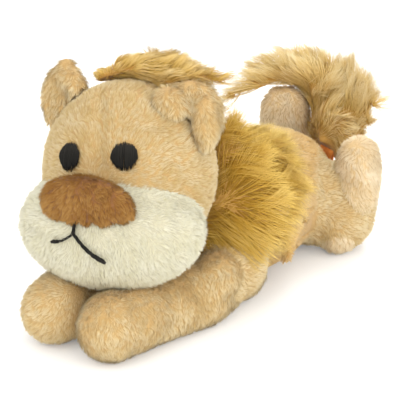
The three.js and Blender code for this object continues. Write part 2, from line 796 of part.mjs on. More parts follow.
/** A full tuft: a flattened egg of long pile with locks that fan out round it. */
function tuftForm() {
  const egg = {
    halfSizes: new THREE.Vector3(tuftHalfWidth, tuftHalfDepth, tuftHalfHeight),
    centre: inRump(...tailEnd),
    turn: new THREE.Euler(0, 0, toRadians(-rumpTurn)),
  };
  const locks = tuftLockShares.map((stops) => furLock(
    [[0, 0, 0], ...stops].map(([across, back, up]) => inRump(
      tailEnd.x + tuftReach * across,
      tailEnd.y + tuftReach * back,
      tailEnd.z + tuftReach * up,
    )),
    alongRump(0, 1, 0),
    tuftLockThickness,
    tuftLockWidth,
  ));
  return locks.reduce((sum, lock) => sum.add(lock), solidOf(eggForm(egg)));
}

function addTail() {
  const pivot = inRump(...tailRoot);
  const axis = alongRump(-1, 0, 0);
  const bodyRoom = sweptRoom(stuffedForm(bodyForm, seamGap), pivot, axis, 0, -tailDrop);
  addPiece('tail_core', tailCore().subtract(bodyRoom), plushTan);
  // Past half its fold a hind foot is clear of the tuft.
  let tuft = tuftForm().subtract(tailCore(seamGap)).subtract(bodyRoom);
  for (const leg of Object.values(hindLegs)) {
    const legRoom = stuffedForm(leg.form, seamGap);
    tuft = tuft.subtract(sweptRoom(legRoom, pivot, axis, 0, -tailDrop));
    tuft = tuft.subtract(sweptRoom(legRoom, leg.pivot, leg.axis, 0, leg.turn / 2));
  }
  addPiece('tail_tuft', tuft, longPile);
}

/** A folded ribbon, its two ends held in the rump seam. */
function addLabel() {
  const fold = 3 * ribbonThickness;
  const outline = new THREE.Shape([
    new THREE.Vector2(0, 0),
    new THREE.Vector2(ribbonThickness, 0),
    new THREE.Vector2(ribbonThickness, labelLength - ribbonThickness),
    new THREE.Vector2(fold - ribbonThickness, labelLength - ribbonThickness),
    new THREE.Vector2(fold - ribbonThickness, 0),
    new THREE.Vector2(fold, 0),
    new THREE.Vector2(fold, labelLength),
    new THREE.Vector2(0, labelLength),
  ]);
  const geometry = new THREE.ExtrudeGeometry(outline, { depth: labelWidth, bevelEnabled: false });
  geometry.rotateX(Math.PI / 2);
  geometry.rotateZ(Math.PI / 2);
  geometry.translate(-labelAside - labelWidth / 2, rumpLength, bodySeamHeight);
  geometry.applyMatrix4(rumpFrame);
  addPiece('label', solidOf(geometry).subtract(stuffedForm(bodyForm, seamGap)), orangeRibbon);
}

addBody();
addMane();
addHead();
addNose();
addEye('left_eye', 1);
addEye('right_eye', -1);
addMouth();
addEar('left');
addEar('right');
addCrest();
addForeleg('left');
addForeleg('right');
addHindLeg('left');
addHindLeg('right');
addTail();
addLabel();

export default lion;
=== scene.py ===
"""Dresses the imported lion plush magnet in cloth, pile, long fur, thread and ribbon, in a pale studio."""

import logging
import math
from collections.abc import Callable, Iterable
from dataclasses import dataclass, field
from enum import Enum

import bmesh
import bpy
import numpy as np
from bpy.types import Material, Mesh, Node, NodeSocket, NodeTree, Object
from mathutils import Euler, Matrix, Vector
from mathutils.bvhtree import BVHTree
from mathutils.kdtree import KDTree


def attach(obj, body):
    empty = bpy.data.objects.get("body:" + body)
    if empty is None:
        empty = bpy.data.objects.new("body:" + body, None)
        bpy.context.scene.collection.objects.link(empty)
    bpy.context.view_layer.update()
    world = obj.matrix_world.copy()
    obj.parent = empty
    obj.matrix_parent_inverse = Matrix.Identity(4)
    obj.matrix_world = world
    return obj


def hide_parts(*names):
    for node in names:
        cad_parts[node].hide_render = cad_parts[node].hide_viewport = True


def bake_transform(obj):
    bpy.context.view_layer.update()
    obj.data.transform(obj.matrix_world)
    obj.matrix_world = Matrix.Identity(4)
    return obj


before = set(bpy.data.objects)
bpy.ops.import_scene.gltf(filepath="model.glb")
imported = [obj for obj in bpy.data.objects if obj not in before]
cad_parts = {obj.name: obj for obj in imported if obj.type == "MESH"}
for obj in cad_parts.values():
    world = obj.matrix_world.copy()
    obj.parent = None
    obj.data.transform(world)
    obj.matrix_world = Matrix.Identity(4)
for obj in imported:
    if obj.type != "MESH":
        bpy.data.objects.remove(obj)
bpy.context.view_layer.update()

log = logging.getLogger("lion")
MM = 0.001
BAKE_UV = "OFBake"
# How far above the table the lowest strands and covers lie, and how high the lowest fibre roots.
LOWEST_STRAND, LOWEST_COVER, LOWEST_ROOT = 0.1 * MM, 0.3 * MM, 0.4 * MM

Points = np.ndarray
Triple = tuple[float, float, float]
Rule = Callable[[Points], Points]


class Side(Enum):
    """The lion's own left and right, as the sign of its X axis."""

    LEFT = 1
    RIGHT = -1

    @property
    def word(self) -> str:
        """The side's name as the record writes it."""
        return self.name.lower()


class Slot(Enum):
    """The record's material slots."""

    TAN = "tan_plush"
    CREAM = "cream_plush"
    BROWN = "brown_plush"
    LONG = "long_pile"
    THREAD = "black_thread"
    RIBBON = "orange_ribbon"
    FIBRE = "fibre_filling"
    COTTON = "pouch_cotton"
    NICKEL = "magnet_nickel"


# Small tools -----------------------------------


def linear(hex_colour: str) -> tuple[float, float, float, float]:
    """Turn an sRGB hex colour into linear light.

    Args:
        hex_colour: six hex digits after a hash sign.

    Returns:
        Red, green, blue and a full alpha.
    """
    shares = [int(hex_colour[i:i + 2], 16) / 255 for i in (1, 3, 5)]
    red, green, blue = (s / 12.92 if s <= 0.04045 else ((s + 0.055) / 1.055) ** 2.4 for s in shares)
    return red, green, blue, 1.0


def connect(tree: NodeTree, node: Node, inputs: dict) -> None:
    """Set a node's inputs.

    Args:
        tree: its node tree.
        node: the node.
        inputs: values or other nodes' sockets, by name or number.
    """
    for name, value in inputs.items():
        if isinstance(value, NodeSocket):
            tree.links.new(value, node.inputs[name])
        else:
            node.inputs[name].default_value = value


def add_node(tree: NodeTree, kind: str, settings: dict | None = None, inputs: dict | None = None) -> Node:
    """Add one shader node.

    Args:
        tree: its node tree.
        kind: its type name, without the leading ShaderNode.
        settings: its own properties.
        inputs: its inputs, as connect takes them.

    Returns:
        The new node.
    """
    node = tree.nodes.new("ShaderNode" + kind)
    for name, value in (settings or {}).items():
        setattr(node, name, value)
    connect(tree, node, inputs or {})
    return node


def fill_ramp(ramp: Node, stops: list[tuple[float, str]]) -> NodeSocket:
    """Set the stops of a colour ramp.

    Args:
        ramp: the node.
        stops: positions with their hex colours.

    Returns:
        The ramp's colour socket.
    """
    elements = ramp.color_ramp.elements
    while len(elements) < len(stops):
        elements.new(1.0)
    for element, (position, hex_colour) in zip(elements, stops):
        element.position = position
        element.color = linear(hex_colour)
    return ramp.outputs["Color"]


def unit(rows: Points) -> Points:
    """Bring each row to a length of one."""
    return rows / np.maximum(np.linalg.norm(rows, axis=-1, keepdims=True), 1e-12)


def waves(points: Points, size: float, seed: int, terms: int = 7) -> Points:
    """Give smooth wandering vectors, about one long.

    Args:
        points: places, in metres.
        size: the length of a wave, in metres.
        seed: the random seed.
        terms: how many sines are summed.

    Returns:
        One vector for each point.
    """
    rng = np.random.default_rng(seed)
    reach = unit(rng.normal(size=(terms, 3))) * rng.uniform(0.7, 1.5, (terms, 1)) * 2 * math.pi / size
    phase = rng.uniform(0, 2 * math.pi, (3, terms))
    angle = points @ reach.T
    return np.stack([np.sin(angle + phase[i]).sum(1) for i in range(3)], 1) / math.sqrt(terms / 2)


def boxed(points: Points, corners: Points, margin: float) -> Points:
    """Number the points that lie in the box round some corners, or within a margin of it."""
    low, high = corners.min(0) - margin, corners.max(0) + margin
    return np.flatnonzero(((points > low) & (points < high)).all(1))


def mesh_arrays(mesh: Mesh) -> list[Points]:
    """Read a mesh as arrays.

    Args:
        mesh: a mesh of any faces.

    Returns:
        Vertex places, vertex normals and triangles.
    """
    mesh.calc_loop_triangles()
    arrays = []
    for rows, attribute, read, kept in ((mesh.vertices, "co", np.float32, float),
                                        (mesh.vertex_normals, "vector", np.float32, float),
                                        (mesh.loop_triangles, "vertices", np.int32, np.int32)):
        values = np.zeros(len(rows) * 3, read)
        rows.foreach_get(attribute, values)
        arrays.append(values.reshape(-1, 3).astype(kept))
    return arrays


def new_object(name: str, mesh: Mesh) -> Object:
    """Put a mesh into the scene as an object at the origin.

    Args:
        name: the object's name.
        mesh: its mesh.

    Returns:
        The new object.
    """
    made = bpy.data.objects.new(name, mesh)
    bpy.context.scene.collection.objects.link(made)
    return made


def from_bmesh(name: str, bm: bmesh.types.BMesh) -> Object:
    """Turn a bmesh into a smooth-shaded object and free it.

    Args:
        name: the name of the object and its mesh.
        bm: the bmesh.

    Returns:
        The new object.
    """
    mesh = bpy.data.meshes.new(name)
    bm.to_mesh(mesh)
    bm.free()
    mesh.shade_smooth()
    return new_object(name, mesh)


def moved(thing: Object, places: Points) -> None:
    """Move an object's vertices to new places."""
    thing.data.vertices.foreach_set("co", places.ravel())
    thing.data.update()


def baked(thing: Object) -> None:
    """Apply all modifiers of an object to its mesh.

    Args:
        thing: the object.
    """
    evaluated = thing.evaluated_get(bpy.context.evaluated_depsgraph_get())
    mesh = bpy.data.meshes.new_from_object(evaluated)
    thing.modifiers.clear()
    thing.data = mesh


def walled(thing: Object, thickness: float, offset: float = -1.0) -> None:
    """Give a sheet of cloth its wall.

    Args:
        thing: the sheet, whose mesh is replaced.
        thickness: the wall, in millimetres.
        offset: where the wall lies, from -1, all beneath the sheet, to 1, all above it.
    """
    wall = thing.modifiers.new("wall", "SOLIDIFY")
    wall.thickness = thickness * MM
    wall.offset = offset
    baked(thing)


# Finishes --------------------------------------


@dataclass(frozen=True)
class Finish:
    """What a piece is made of: a named material, and its slot in the record if it has one."""

    name: str
    slot: Slot | None

    def shading(self, tree: NodeTree) -> dict:
        """Draw the finish's own nodes and give the shader's inputs."""
        raise NotImplementedError

    def material(self) -> Material:
        """Build the material, or return the one already built.

        Returns:
            The material, one for each name.
        """
        made = bpy.data.materials.get(self.name)
        if not made:
            made = bpy.data.materials.new(self.name)
            made.use_nodes = True
            tree = made.node_tree
            connect(tree, tree.nodes["Principled BSDF"], self.shading(tree))
        return made

    def dress(self, thing: Object) -> None:
        """Give a finished piece this material and log it.

        Args:
            thing: the piece.
        """
        thing.data.materials.clear()
        thing.data.materials.append(self.material())
        log.info("%s: %d faces", thing.name, len(thing.data.polygons))


@dataclass(frozen=True)
class Fibre(Finish):
    """Polyester pile, fur or thread, dull at the root and paler at the tip. The darker, warmer root colour is
    partly painted shade and bounce light from deep in the pile.

    The strand's own map holds its tone across and its place from root to tip upwards.
    """

    root: str
    dark: str
    light: str
    tip: str
    roughness: float = 0.85
    gloss: float = 0.1

    def shading(self, tree: NodeTree) -> dict:
        """Mix a deep and a pale ramp from root to tip by the strand's tone.

        Args:
            tree: the material's node tree.

        Returns:
            The shader's inputs.
        """
        place = add_node(tree, "UVMap", {"uv_map": BAKE_UV})
        split = add_node(tree, "SeparateXYZ", inputs={0: place.outputs[0]})
        deep, pale = (
            fill_ramp(add_node(tree, "ValToRGB", inputs={0: split.outputs[1]}), stops) for stops in (
                [(0.0, self.root), (0.5, self.dark), (1.0, self.light)],
                [(0.0, self.dark), (0.45, self.light), (1.0, self.tip)]))
        blend = add_node(tree, "Mix", {"data_type": "RGBA"}, {0: split.outputs[0], 6: deep, 7: pale})
        return {"Base Color": blend.outputs[2], "Roughness": self.roughness, "Specular IOR Level": self.gloss}


@dataclass(frozen=True)
class Cloth(Finish):
    """A mottled surface with fine loops, crystals or a weave in relief, with sizes in millimetres."""

    dark: str
    light: str
    grain: float = 0.6
    mottle: float = 3.0
    relief: float = 0.15
    roughness: float = 0.95
    sheen: float = 0.2
    metallic: float = 0.0
    woven: bool = False

    def loops(self, tree: NodeTree, place: NodeSocket) -> NodeSocket:
        """Draw the height of a plain weave, or of small round cells.

        Args:
            tree: the material's node tree.
            place: where on the piece a point lies.

        Returns:
            The height's socket.
        """
        if not self.woven:
            return add_node(tree, "TexVoronoi", inputs={
                "Vector": place, "Scale": 1 / (self.grain * MM)}).outputs["Distance"]
        warp, weft = (add_node(tree, "TexWave", {"bands_direction": axis}, {
            "Vector": place, "Scale": 0.31 / (self.grain * MM), "Distortion": 0.6,
            "Detail": 1.0, "Detail Scale": 2.0}) for axis in ("X", "Z"))
        return add_node(tree, "Math", {"operation": "MAXIMUM"}, {
            0: warp.outputs["Fac"], 1: weft.outputs["Fac"]}).outputs[0]

    def shading(self, tree: NodeTree) -> dict:
        """Colour the surface by its loops and slow patches, and raise the loops.

        Args:
            tree: the material's node tree.

        Returns:
            The shader's inputs.
        """
        place = add_node(tree, "TexCoord").outputs["Object"]
        patch = add_node(tree, "TexNoise", inputs={
            "Vector": place, "Scale": 1 / (self.mottle * MM), "Detail": 4.0})
        loops = self.loops(tree, place)
        shade = add_node(tree, "Math", {"operation": "MULTIPLY_ADD", "use_clamp": True}, {
            0: loops, 1: 0.35, 2: patch.outputs["Fac"]})
        colour = fill_ramp(add_node(tree, "ValToRGB", inputs={0: shade.outputs[0]}),
                           [(0.3, self.dark), (0.9, self.light)])
        bump = add_node(tree, "Bump", inputs={
            "Height": loops, "Strength": 0.6, "Distance": self.relief * MM})
        return {"Base Color": colour, "Normal": bump.outputs[0], "Roughness": self.roughness,
                "Metallic": self.metallic, "Sheen Weight": self.sheen}


# Knitted polyester plush, brushed and steamed: short soft pile that lies in waves. Each root colour is darker
# and warmer than the tip, partly as painted shade from deep in the pile.
TAN_PILE = Fibre("tan_polyester_pile", Slot.TAN, "#b7833e", "#cea35e", "#ddbc86", "#e4c89b")
PALE_PILE = Fibre("pale_polyester_pile", Slot.TAN, "#ba8e4d", "#d2b176", "#e4ce9e", "#ecdbb7")
# The face's pile is the tan pile made darker and duller: painted shade that offsets the brighter light on the
# face.
SHADED_FACE_PILE = Fibre("fawn_polyester_pile", Slot.TAN, "#b08749", "#c8a96c", "#d8c192", "#e2d2af")
FOOT_PILE = Fibre("straw_polyester_pile", Slot.TAN, "#cfa468", "#e8cd9e", "#f5e1bd", "#fcedd2")
CREAM_PILE = Fibre("cream_polyester_pile", Slot.CREAM, "#c9bf97", "#dad4b3", "#e5e0c8", "#ece8d4")
BROWN_PILE = Fibre("brown_polyester_pile", Slot.BROWN, "#73471e", "#92632e", "#ae7f44", "#c0985c")
# Long-pile fur cloth of polyester: silky locks with a soft gloss, darker at their roots, partly in their own
# colour and partly as painted shade under the locks.
MANE_FUR = Fibre("golden_long_fur", Slot.LONG, "#8c611a", "#c99c38", "#ebc768", "#fae196", 0.6)
TAIL_FUR = Fibre("straw_long_fur", Slot.LONG, "#a0752a", "#dab35e", "#f5da96", "#fdedc4", 0.6)
CREST_FUR = Fibre("crest_long_fur", Slot.LONG, "#ad8233", "#ddb558", "#f2d386", "#fbe6b4", 0.6)
# The knitted backing that the pile is locked into: fine dull loops, seen only between strands.
TAN_BACKING = Cloth("tan_knitted_backing", Slot.TAN, "#b6925a", "#c19e67")
STRAW_BACKING = Cloth("straw_knitted_backing", Slot.TAN, "#c8a874", "#d3b585")
CREAM_BACKING = Cloth("cream_knitted_backing", Slot.CREAM, "#bdb599", "#c8c1a6")
BROWN_BACKING = Cloth("brown_knitted_backing", Slot.BROWN, "#6b431f", "#8a5c2f")
FUR_BACKING = Cloth("fur_knitted_backing", Slot.LONG, "#a87b31", "#c99c50")
# Trilobal polyester embroidery thread in satin stitch, black with a soft gloss along it.
BLACK_THREAD = Fibre("black_embroidery_thread", Slot.THREAD, "#141311", "#181714", "#262420", "#322f2b", 0.6)
# Woven polyester ribbon: a tight fine grid with a slight gloss.
ORANGE_RIBBON = Cloth("orange_woven_ribbon", Slot.RIBBON, "#d4650f", "#f79a3c", 0.35, 2.0, 0.08,
                      roughness=0.6, sheen=0.1, woven=True)
# Loose crimped polyester fibre, which looks like soft white lumps.
WHITE_FIBRE = Cloth("white_polyester_fibre", Slot.FIBRE, "#d9d5ca", "#f6f4ee", 0.9, 2.0, 0.4)
# Thin undyed cotton calico, plain woven, which shows a fine dull grid.
COTTON = Cloth("undyed_cotton_calico", Slot.COTTON, "#cfc7b3", "#ece6d8", 0.3, 2.0, 0.05,
               roughness=0.9, sheen=0.1, woven=True)
# Bright nickel plate on a pressed magnet, which mirrors softly and is faintly mottled.
NICKEL = Cloth("bright_nickel_plate", Slot.NICKEL, "#a9abad", "#c6c8ca", 0.5, 1.5, 0.01,
               roughness=0.25, sheen=0.0, metallic=1.0)


# Strands ---------------------------------------


@dataclass(frozen=True)
class Strand:
    """One hair or thread, shaped once by operators and then repeated along many paths."""

    sides: int = 3
    taper: tuple[float, ...] = (1.0, 0.0)
    depth: float = 0.45

    def shape(self) -> tuple[Points, Points, Points]:
        """Draw the strand upright, one ring for each width of the taper.

        Returns:
            Ring number of each vertex, its place across, and the triangles.
        """
        bm = bmesh.new()
        bmesh.ops.create_circle(bm, cap_ends=True, segments=self.sides, radius=self.taper[0] / 2)
        face = bm.faces[:][0]
        for ring, (before, width) in enumerate(zip(self.taper, self.taper[1:]), 1):
            made = bmesh.ops.extrude_face_region(bm, geom=[face])["geom"]
            face = next(part for part in made if isinstance(part, bmesh.types.BMFace))
            share = max(width, 0.001) / before
            bmesh.ops.translate(bm, verts=face.verts[:], vec=(0, 0, 1))
            bmesh.ops.scale(bm, verts=face.verts[:], vec=(share, share, 1))
        if self.taper[-1] == 0:
            bmesh.ops.pointmerge(bm, verts=face.verts[:], merge_co=(0, 0, len(self.taper) - 1))
        inner = [f for f in bm.faces if all(v.co.z < 0.5 for v in f.verts)]
        if not inner:
            bmesh.ops.contextual_create(bm, geom=[v for v in bm.verts if v.co.z < 0.5])
        bmesh.ops.triangulate(bm, faces=bm.faces[:])
        bmesh.ops.recalc_face_normals(bm, faces=bm.faces[:])
        bm.verts.index_update()
        places = np.array([v.co[:] for v in bm.verts])
        triangles = np.array([[v.index for v in f.verts] for f in bm.faces])
        bm.free()
        return np.rint(places[:, 2]).astype(int), places[:, :2], triangles

    def lay(self, name: str, paths: Points, widths: Points, tones: Points, outwards: Points,
            softness: float) -> Object:
        """Repeat the strand along paths as one mesh.

        Args:
            name: the piece's name.
            paths: for each strand one point for each ring.
            widths: each strand's width.
            tones: each strand's tone, from 0, deep, to 1, pale.
            outwards: the direction away from the cloth at each strand.
            softness: how far the shading normals turn to that direction.

        Returns:
            The new object.
        """
        ring, across, triangles = self.shape()
        ahead = unit(np.gradient(paths, axis=1))
        beside = unit(np.cross(ahead, outwards[:, None, :]))
        over = np.cross(ahead, beside)
        spread = beside[:, ring] * across[None, :, :1] + over[:, ring] * across[None, :, 1:] * self.depth
        places = paths[:, ring] + widths[:, None, None] * spread
        places[..., 2] = np.maximum(places[..., 2], LOWEST_STRAND)
        count, corners = len(paths), len(ring)
        faces = (triangles[None] + np.arange(count)[:, None, None] * corners).reshape(-1, 3)
        mesh = bpy.data.meshes.new(name)
        mesh.vertices.add(count * corners)
        mesh.vertices.foreach_set("co", places.ravel())
        mesh.loops.add(faces.size)
        mesh.loops.foreach_set("vertex_index", faces.ravel().astype(np.int32))
        mesh.polygons.add(len(faces))
        mesh.polygons.foreach_set("loop_start", np.arange(0, faces.size, 3, dtype=np.int32))
        tone_and_place = np.empty((count, corners, 2))
        tone_and_place[..., 0] = np.clip(tones, 0.01, 0.99)[:, None]
        tone_and_place[..., 1] = 0.01 + 0.98 * ring[None] / ring.max()
        uv_map = mesh.uv_layers.new(name=BAKE_UV)
        uv_map.uv.foreach_set("vector", tone_and_place.reshape(-1, 2)[faces.ravel()].ravel())
        mesh.update(calc_edges=True)
        mesh.shade_smooth()
        if softness:
            normals = unit(unit(spread) * (1 - softness) + outwards[:, None, :] * softness)
            mesh.normals_split_custom_set_from_vertices(normals.reshape(-1, 3))
        return new_object(name, mesh)


PILE_STRAND = Strand(3, (1.0, 0.0))
FUR_STRAND = Strand(3, (1.0, 0.85, 0.55, 0.0))
THREAD_STRAND = Strand(6, (0.35, 0.9, 1.0, 1.0, 1.0, 0.9, 0.35), 1.0)


@dataclass(frozen=True)
class Growth:
    """How fibre grows from cloth, by default as short pile does, with sizes in millimetres."""

    finish: Fibre
    per_mm2: float
    length: float = 1.9
    width: float = 0.3
    rise: float = 0.42
    clump: float = 0.36
    clump_size: float = 1.3
    wave: float = 0.3
    wave_size: float = 6.0
    hold: float = 0.0
    strand: Strand = PILE_STRAND


# Cloth -----------------------------------------


@dataclass
class Skin:
    """A closed cloth surface that fibre grows on and other pieces keep clear of."""

    thing: Object
    places: Points = field(init=False)
    normals: Points = field(init=False)
    triangles: Points = field(init=False)
    tree: BVHTree = field(init=False)

    def __post_init__(self) -> None:
        """Read the object's final mesh."""
        self.places, self.normals, self.triangles = mesh_arrays(self.thing.data)
        self.tree = BVHTree.FromPolygons(self.places.tolist(), self.triangles.tolist())

    def roots(self, per_mm2: float, rng: np.random.Generator) -> tuple[Points, Points]:
        """Scatter points evenly over the surface.

        Args:
            per_mm2: how many on each square millimetre.
            rng: the source of chance.

        Returns:
            The points and the surface normals there.
        """
        a, b, c = (self.places[self.triangles[:, i]] for i in range(3))
        areas = np.linalg.norm(np.cross(b - a, c - a), axis=1) / 2
        total = areas.sum() / MM ** 2
        chosen = np.searchsorted(np.cumsum(areas) / areas.sum(), rng.random(int(total * per_mm2)))
        chosen = np.minimum(chosen, len(areas) - 1)
        u, v = rng.random((2, len(chosen), 1))
        folded = u + v > 1
        u, v = np.where(folded, 1 - u, u), np.where(folded, 1 - v, v)
        corners = self.triangles[chosen]
        shares = ((0, 1 - u - v), (1, u), (2, v))
        return (sum(self.places[corners[:, i]] * share for i, share in shares),
                unit(sum(self.normals[corners[:, i]] * share for i, share in shares)))

    def nearest(self, points: Points) -> tuple[Points, Points]:
        """Find the closest place on the surface to each point.

        Args:
            points: places near the surface.

        Returns:
            The closest places and the face normals there.
        """
        found = [self.tree.find_nearest(point)[:2] for point in points.tolist()]
        return np.array([f[0][:] for f in found]), np.array([f[1][:] for f in found])

    def over(self, points: Points, upwards: Points, reach: float = 8 * MM) -> Points:
        """Tell which points the skin lies over.

        Args:
            points: places on another surface.
            upwards: that surface's normals there.
            reach: how high the skin is looked for.

        Returns:
            True for each point that is covered.
        """
        covered = np.zeros(len(points), bool)
        for i in boxed(points, self.places, 2 * MM).tolist():
            up = Vector(upwards[i])
            _, normal, _, _ = self.tree.ray_cast(Vector(points[i]) + up * 0.1 * MM, up, reach)
            covered[i] = normal is not None and normal.dot(up) > 0
        return covered

    def height(self, points: Points, near: float = 6 * MM) -> Points:
        """Measure how far points lie outside the skin, below zero inside it.

        Args:
            points: places anywhere.
            near: how far round the skin's box the exact measure is made.

        Returns:
            Heights in metres, with the distance asked for where a point is further.
        """
        heights = np.full(len(points), near)
        close = boxed(points, self.places, near)
        if len(close):
            spots, normals = self.nearest(points[close])
            offsets = points[close] - spots
            signs = np.where((offsets * normals).sum(1) < 0, -1, 1)
            heights[close] = signs * np.linalg.norm(offsets, axis=1)
        return heights


@dataclass
class Wardrobe:
    """Everything sewn so far, for pieces that must keep clear of one another."""

    skins: dict[str, Skin] = field(default_factory=dict)
    sheets: dict[str, Skin] = field(default_factory=dict)

    def add(self, name: str, body: str | None, cover: Object, finish: Cloth, *nodes: str) -> None:
        """Finish a cover and keep it.

        Args:
            name: its short name.
            body: the body it rides on, or None where it rides on none.
            cover: the closed cover.
            finish: its cloth.
            nodes: the CAD nodes that it stands for.
        """
        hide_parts(*nodes)
        if body:
            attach(cover, body)
        finish.dress(cover)
        self.skins[name] = Skin(cover)

    def clear_of(self, points: Points, names: list[str], gap: float = 0.0) -> Points:
        """Tell which points lie outside all the named skins.

        Args:
            points: the places asked about.
            names: the skins' short names.
            gap: the least height above each skin, in metres.

        Returns:
            True for each point that is clear.
        """
        clear = np.ones(len(points), bool)
        for name in names:
            clear[clear] = self.skins[name].height(points[clear]) > gap
        return clear


# The lion's own frames and folds ---------------


@dataclass(frozen=True)
class Place:
    """A turned frame on the lion, with sizes in millimetres and degrees."""

    origin: Triple
    turn: Triple

    def matrix(self) -> Points:
        """The frame's axes as columns."""
        return np.array(Euler([math.radians(a) for a in self.turn], "XYZ").to_matrix())

    def out(self, *local: float) -> Points:
        """A local point, in metres in the CAD frame."""
        return (np.array(self.origin) + self.matrix() @ np.array(local)) * MM

    def along(self, *local: float) -> Points:
        """A local direction in the CAD frame."""
        return self.matrix() @ np.array(local, float)

    def into(self, points: Points) -> Points:
        """CAD points as local ones, in millimetres."""
        return (points / MM - np.array(self.origin)) @ self.matrix()

    def lump(self, middle: Triple, radii: Triple) -> Matrix:
        """A round lump at a local place, with its half sizes along the local axes."""
        turn = Matrix(self.matrix().tolist()).to_quaternion()
        return Matrix.LocRotScale(Vector(self.out(*middle)), turn, Vector(radii) * MM)

    def fan(self, middle: Triple, fall: Triple = (0, 0, 0)) -> Rule:
        """Comb fibre away from a local middle, with a local fall added to it."""
        return lambda roots: unit(roots - self.out(*middle)) + self.along(*fall)

    def fall(self, *local: float) -> Rule:
        """Comb fibre one way, along a local direction."""
        return lambda roots: np.tile(self.along(*local), (len(roots), 1))


HEAD = Place((-2, -47, 43.5), (-12, -6, 10))
RUMP = Place((0.6, 28.7, 0), (0, 0, -26))
CHEST = Place((0, 0, 0), (0, 0, 0))


@dataclass(frozen=True)
class Crease:
    """A fold that the filling leaves in the cloth, with sizes in millimetres in a frame of the lion. Its
    shade is painted shade: fibre grown near the fold gets a darker tone.
    """

    place: Place
    line: tuple[Triple, ...]
    width: float
    depth: float
    # painted shade: how far the fibre's tone is darkened on the fold's line
    shade: float = 0.5
    stops: int = 40

    def nearness(self, points: Points) -> Points:
        """Tell how near points lie to the fold, from 0 to 1 on its line.

        Args:
            points: places anywhere.

        Returns:
            One share for each point.
        """
        line = np.array([self.place.out(*row) for row in self.line])
        steps = np.linspace(0, len(line) - 1, self.stops)
        line = np.stack([np.interp(steps, np.arange(len(line)), line[:, axis]) for axis in range(3)], 1)
        near = np.zeros(len(points))
        close = boxed(points, line, 3 * self.width * MM)
        if len(close):
            apart = np.linalg.norm(points[close][:, None] - line[None], axis=2).min(1) / (self.width * MM)
            near[close] = np.exp(-apart ** 2)
        return near


ELBOW = Crease(CHEST, ((8, -48, 18.5), (14.5, -47.5, 16.5), (20.8, -48.3, 14.6), (24.5, -45, 10.5)),
               2.6, 0.9, 0.9)
HIP_DIMPLE = Crease(RUMP, ((24.5, 4.5, 24.0), (26.8, 7.4, 22.3), (28.0, 8.9, 20.5), (28.1, 11.0, 17.6)),
                    2.4, 1.0)
FLANK_SEAM = Crease(RUMP, ((32.4, -18.1, 14.5), (26.7, -9.0, 12.1), (23.6, -0.9, 6.4), (21.9, -0.4, 2.7)),
                    1.8, 0.8)
BROW_SEAM = Crease(HEAD, ((-4.9, -8.0, 22.3), (-0.9, -14.3, 17.7), (1.2, -18.2, 10.3), (1.6, -19.6, 4.0)),
                   1.8, 0.8, 0.25)
CREASES = (ELBOW, HIP_DIMPLE, FLANK_SEAM, BROW_SEAM)


def creased(thing: Object) -> Object:
    """Press every fold into a cover that is already stuffed.

    Args:
        thing: the cover.

    Returns:
        The same cover.
    """
    places, normals, _ = mesh_arrays(thing.data)
    for crease in CREASES:
        places = places - normals * (crease.nearness(places) * crease.depth * MM)[:, None]
    moved(thing, places)
    return thing


# Covers ----------------------------------------


def joined_form(name: str, meshes: list[Mesh], voxel: float, smoothing: int, swell: float = 0.0,
                lumps: tuple[Matrix, ...] = ()) -> Object:
    """Close copies of meshes, and round lumps of filling, into one soft outer form.

    Args:
        name: the new object's name.
        meshes: the meshes that the form stands for.
        voxel: size of the remesh, in millimetres.
        smoothing: how many rounds of smoothing it gets.
        swell: how far the surface then moves outwards, in millimetres.
        lumps: the places and sizes of balls that are added.

    Returns:
        The new object.
    """
    bm = bmesh.new()
    for mesh in meshes:
        bm.from_mesh(mesh)
    for lump in lumps:
        bmesh.ops.create_uvsphere(bm, u_segments=32, v_segments=20, radius=1.0, matrix=lump)
    bmesh.ops.remove_doubles(bm, verts=bm.verts[:], dist=0.001 * MM)
    made = from_bmesh(name, bm)
    remesh = made.modifiers.new("weld", "REMESH")
    remesh.mode = "VOXEL"
    remesh.voxel_size = voxel * MM
    remesh.use_smooth_shade = True
    baked(made)
    bm = bmesh.new()
    bm.from_mesh(made.data)
    for _ in range(smoothing):
        bmesh.ops.smooth_vert(
            bm, verts=bm.verts[:], factor=0.5, use_axis_x=True, use_axis_y=True, use_axis_z=True)
    bm.normal_update()
    for vertex in bm.verts:
        vertex.co += vertex.normal * swell * MM
    bm.to_mesh(made.data)
    bm.free()
    made.data.shade_smooth()
    return made


def node_meshes(*nodes: str) -> list[Mesh]:
    """Fetch the meshes of CAD nodes by name."""
    return [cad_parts[node].data for node in nodes]


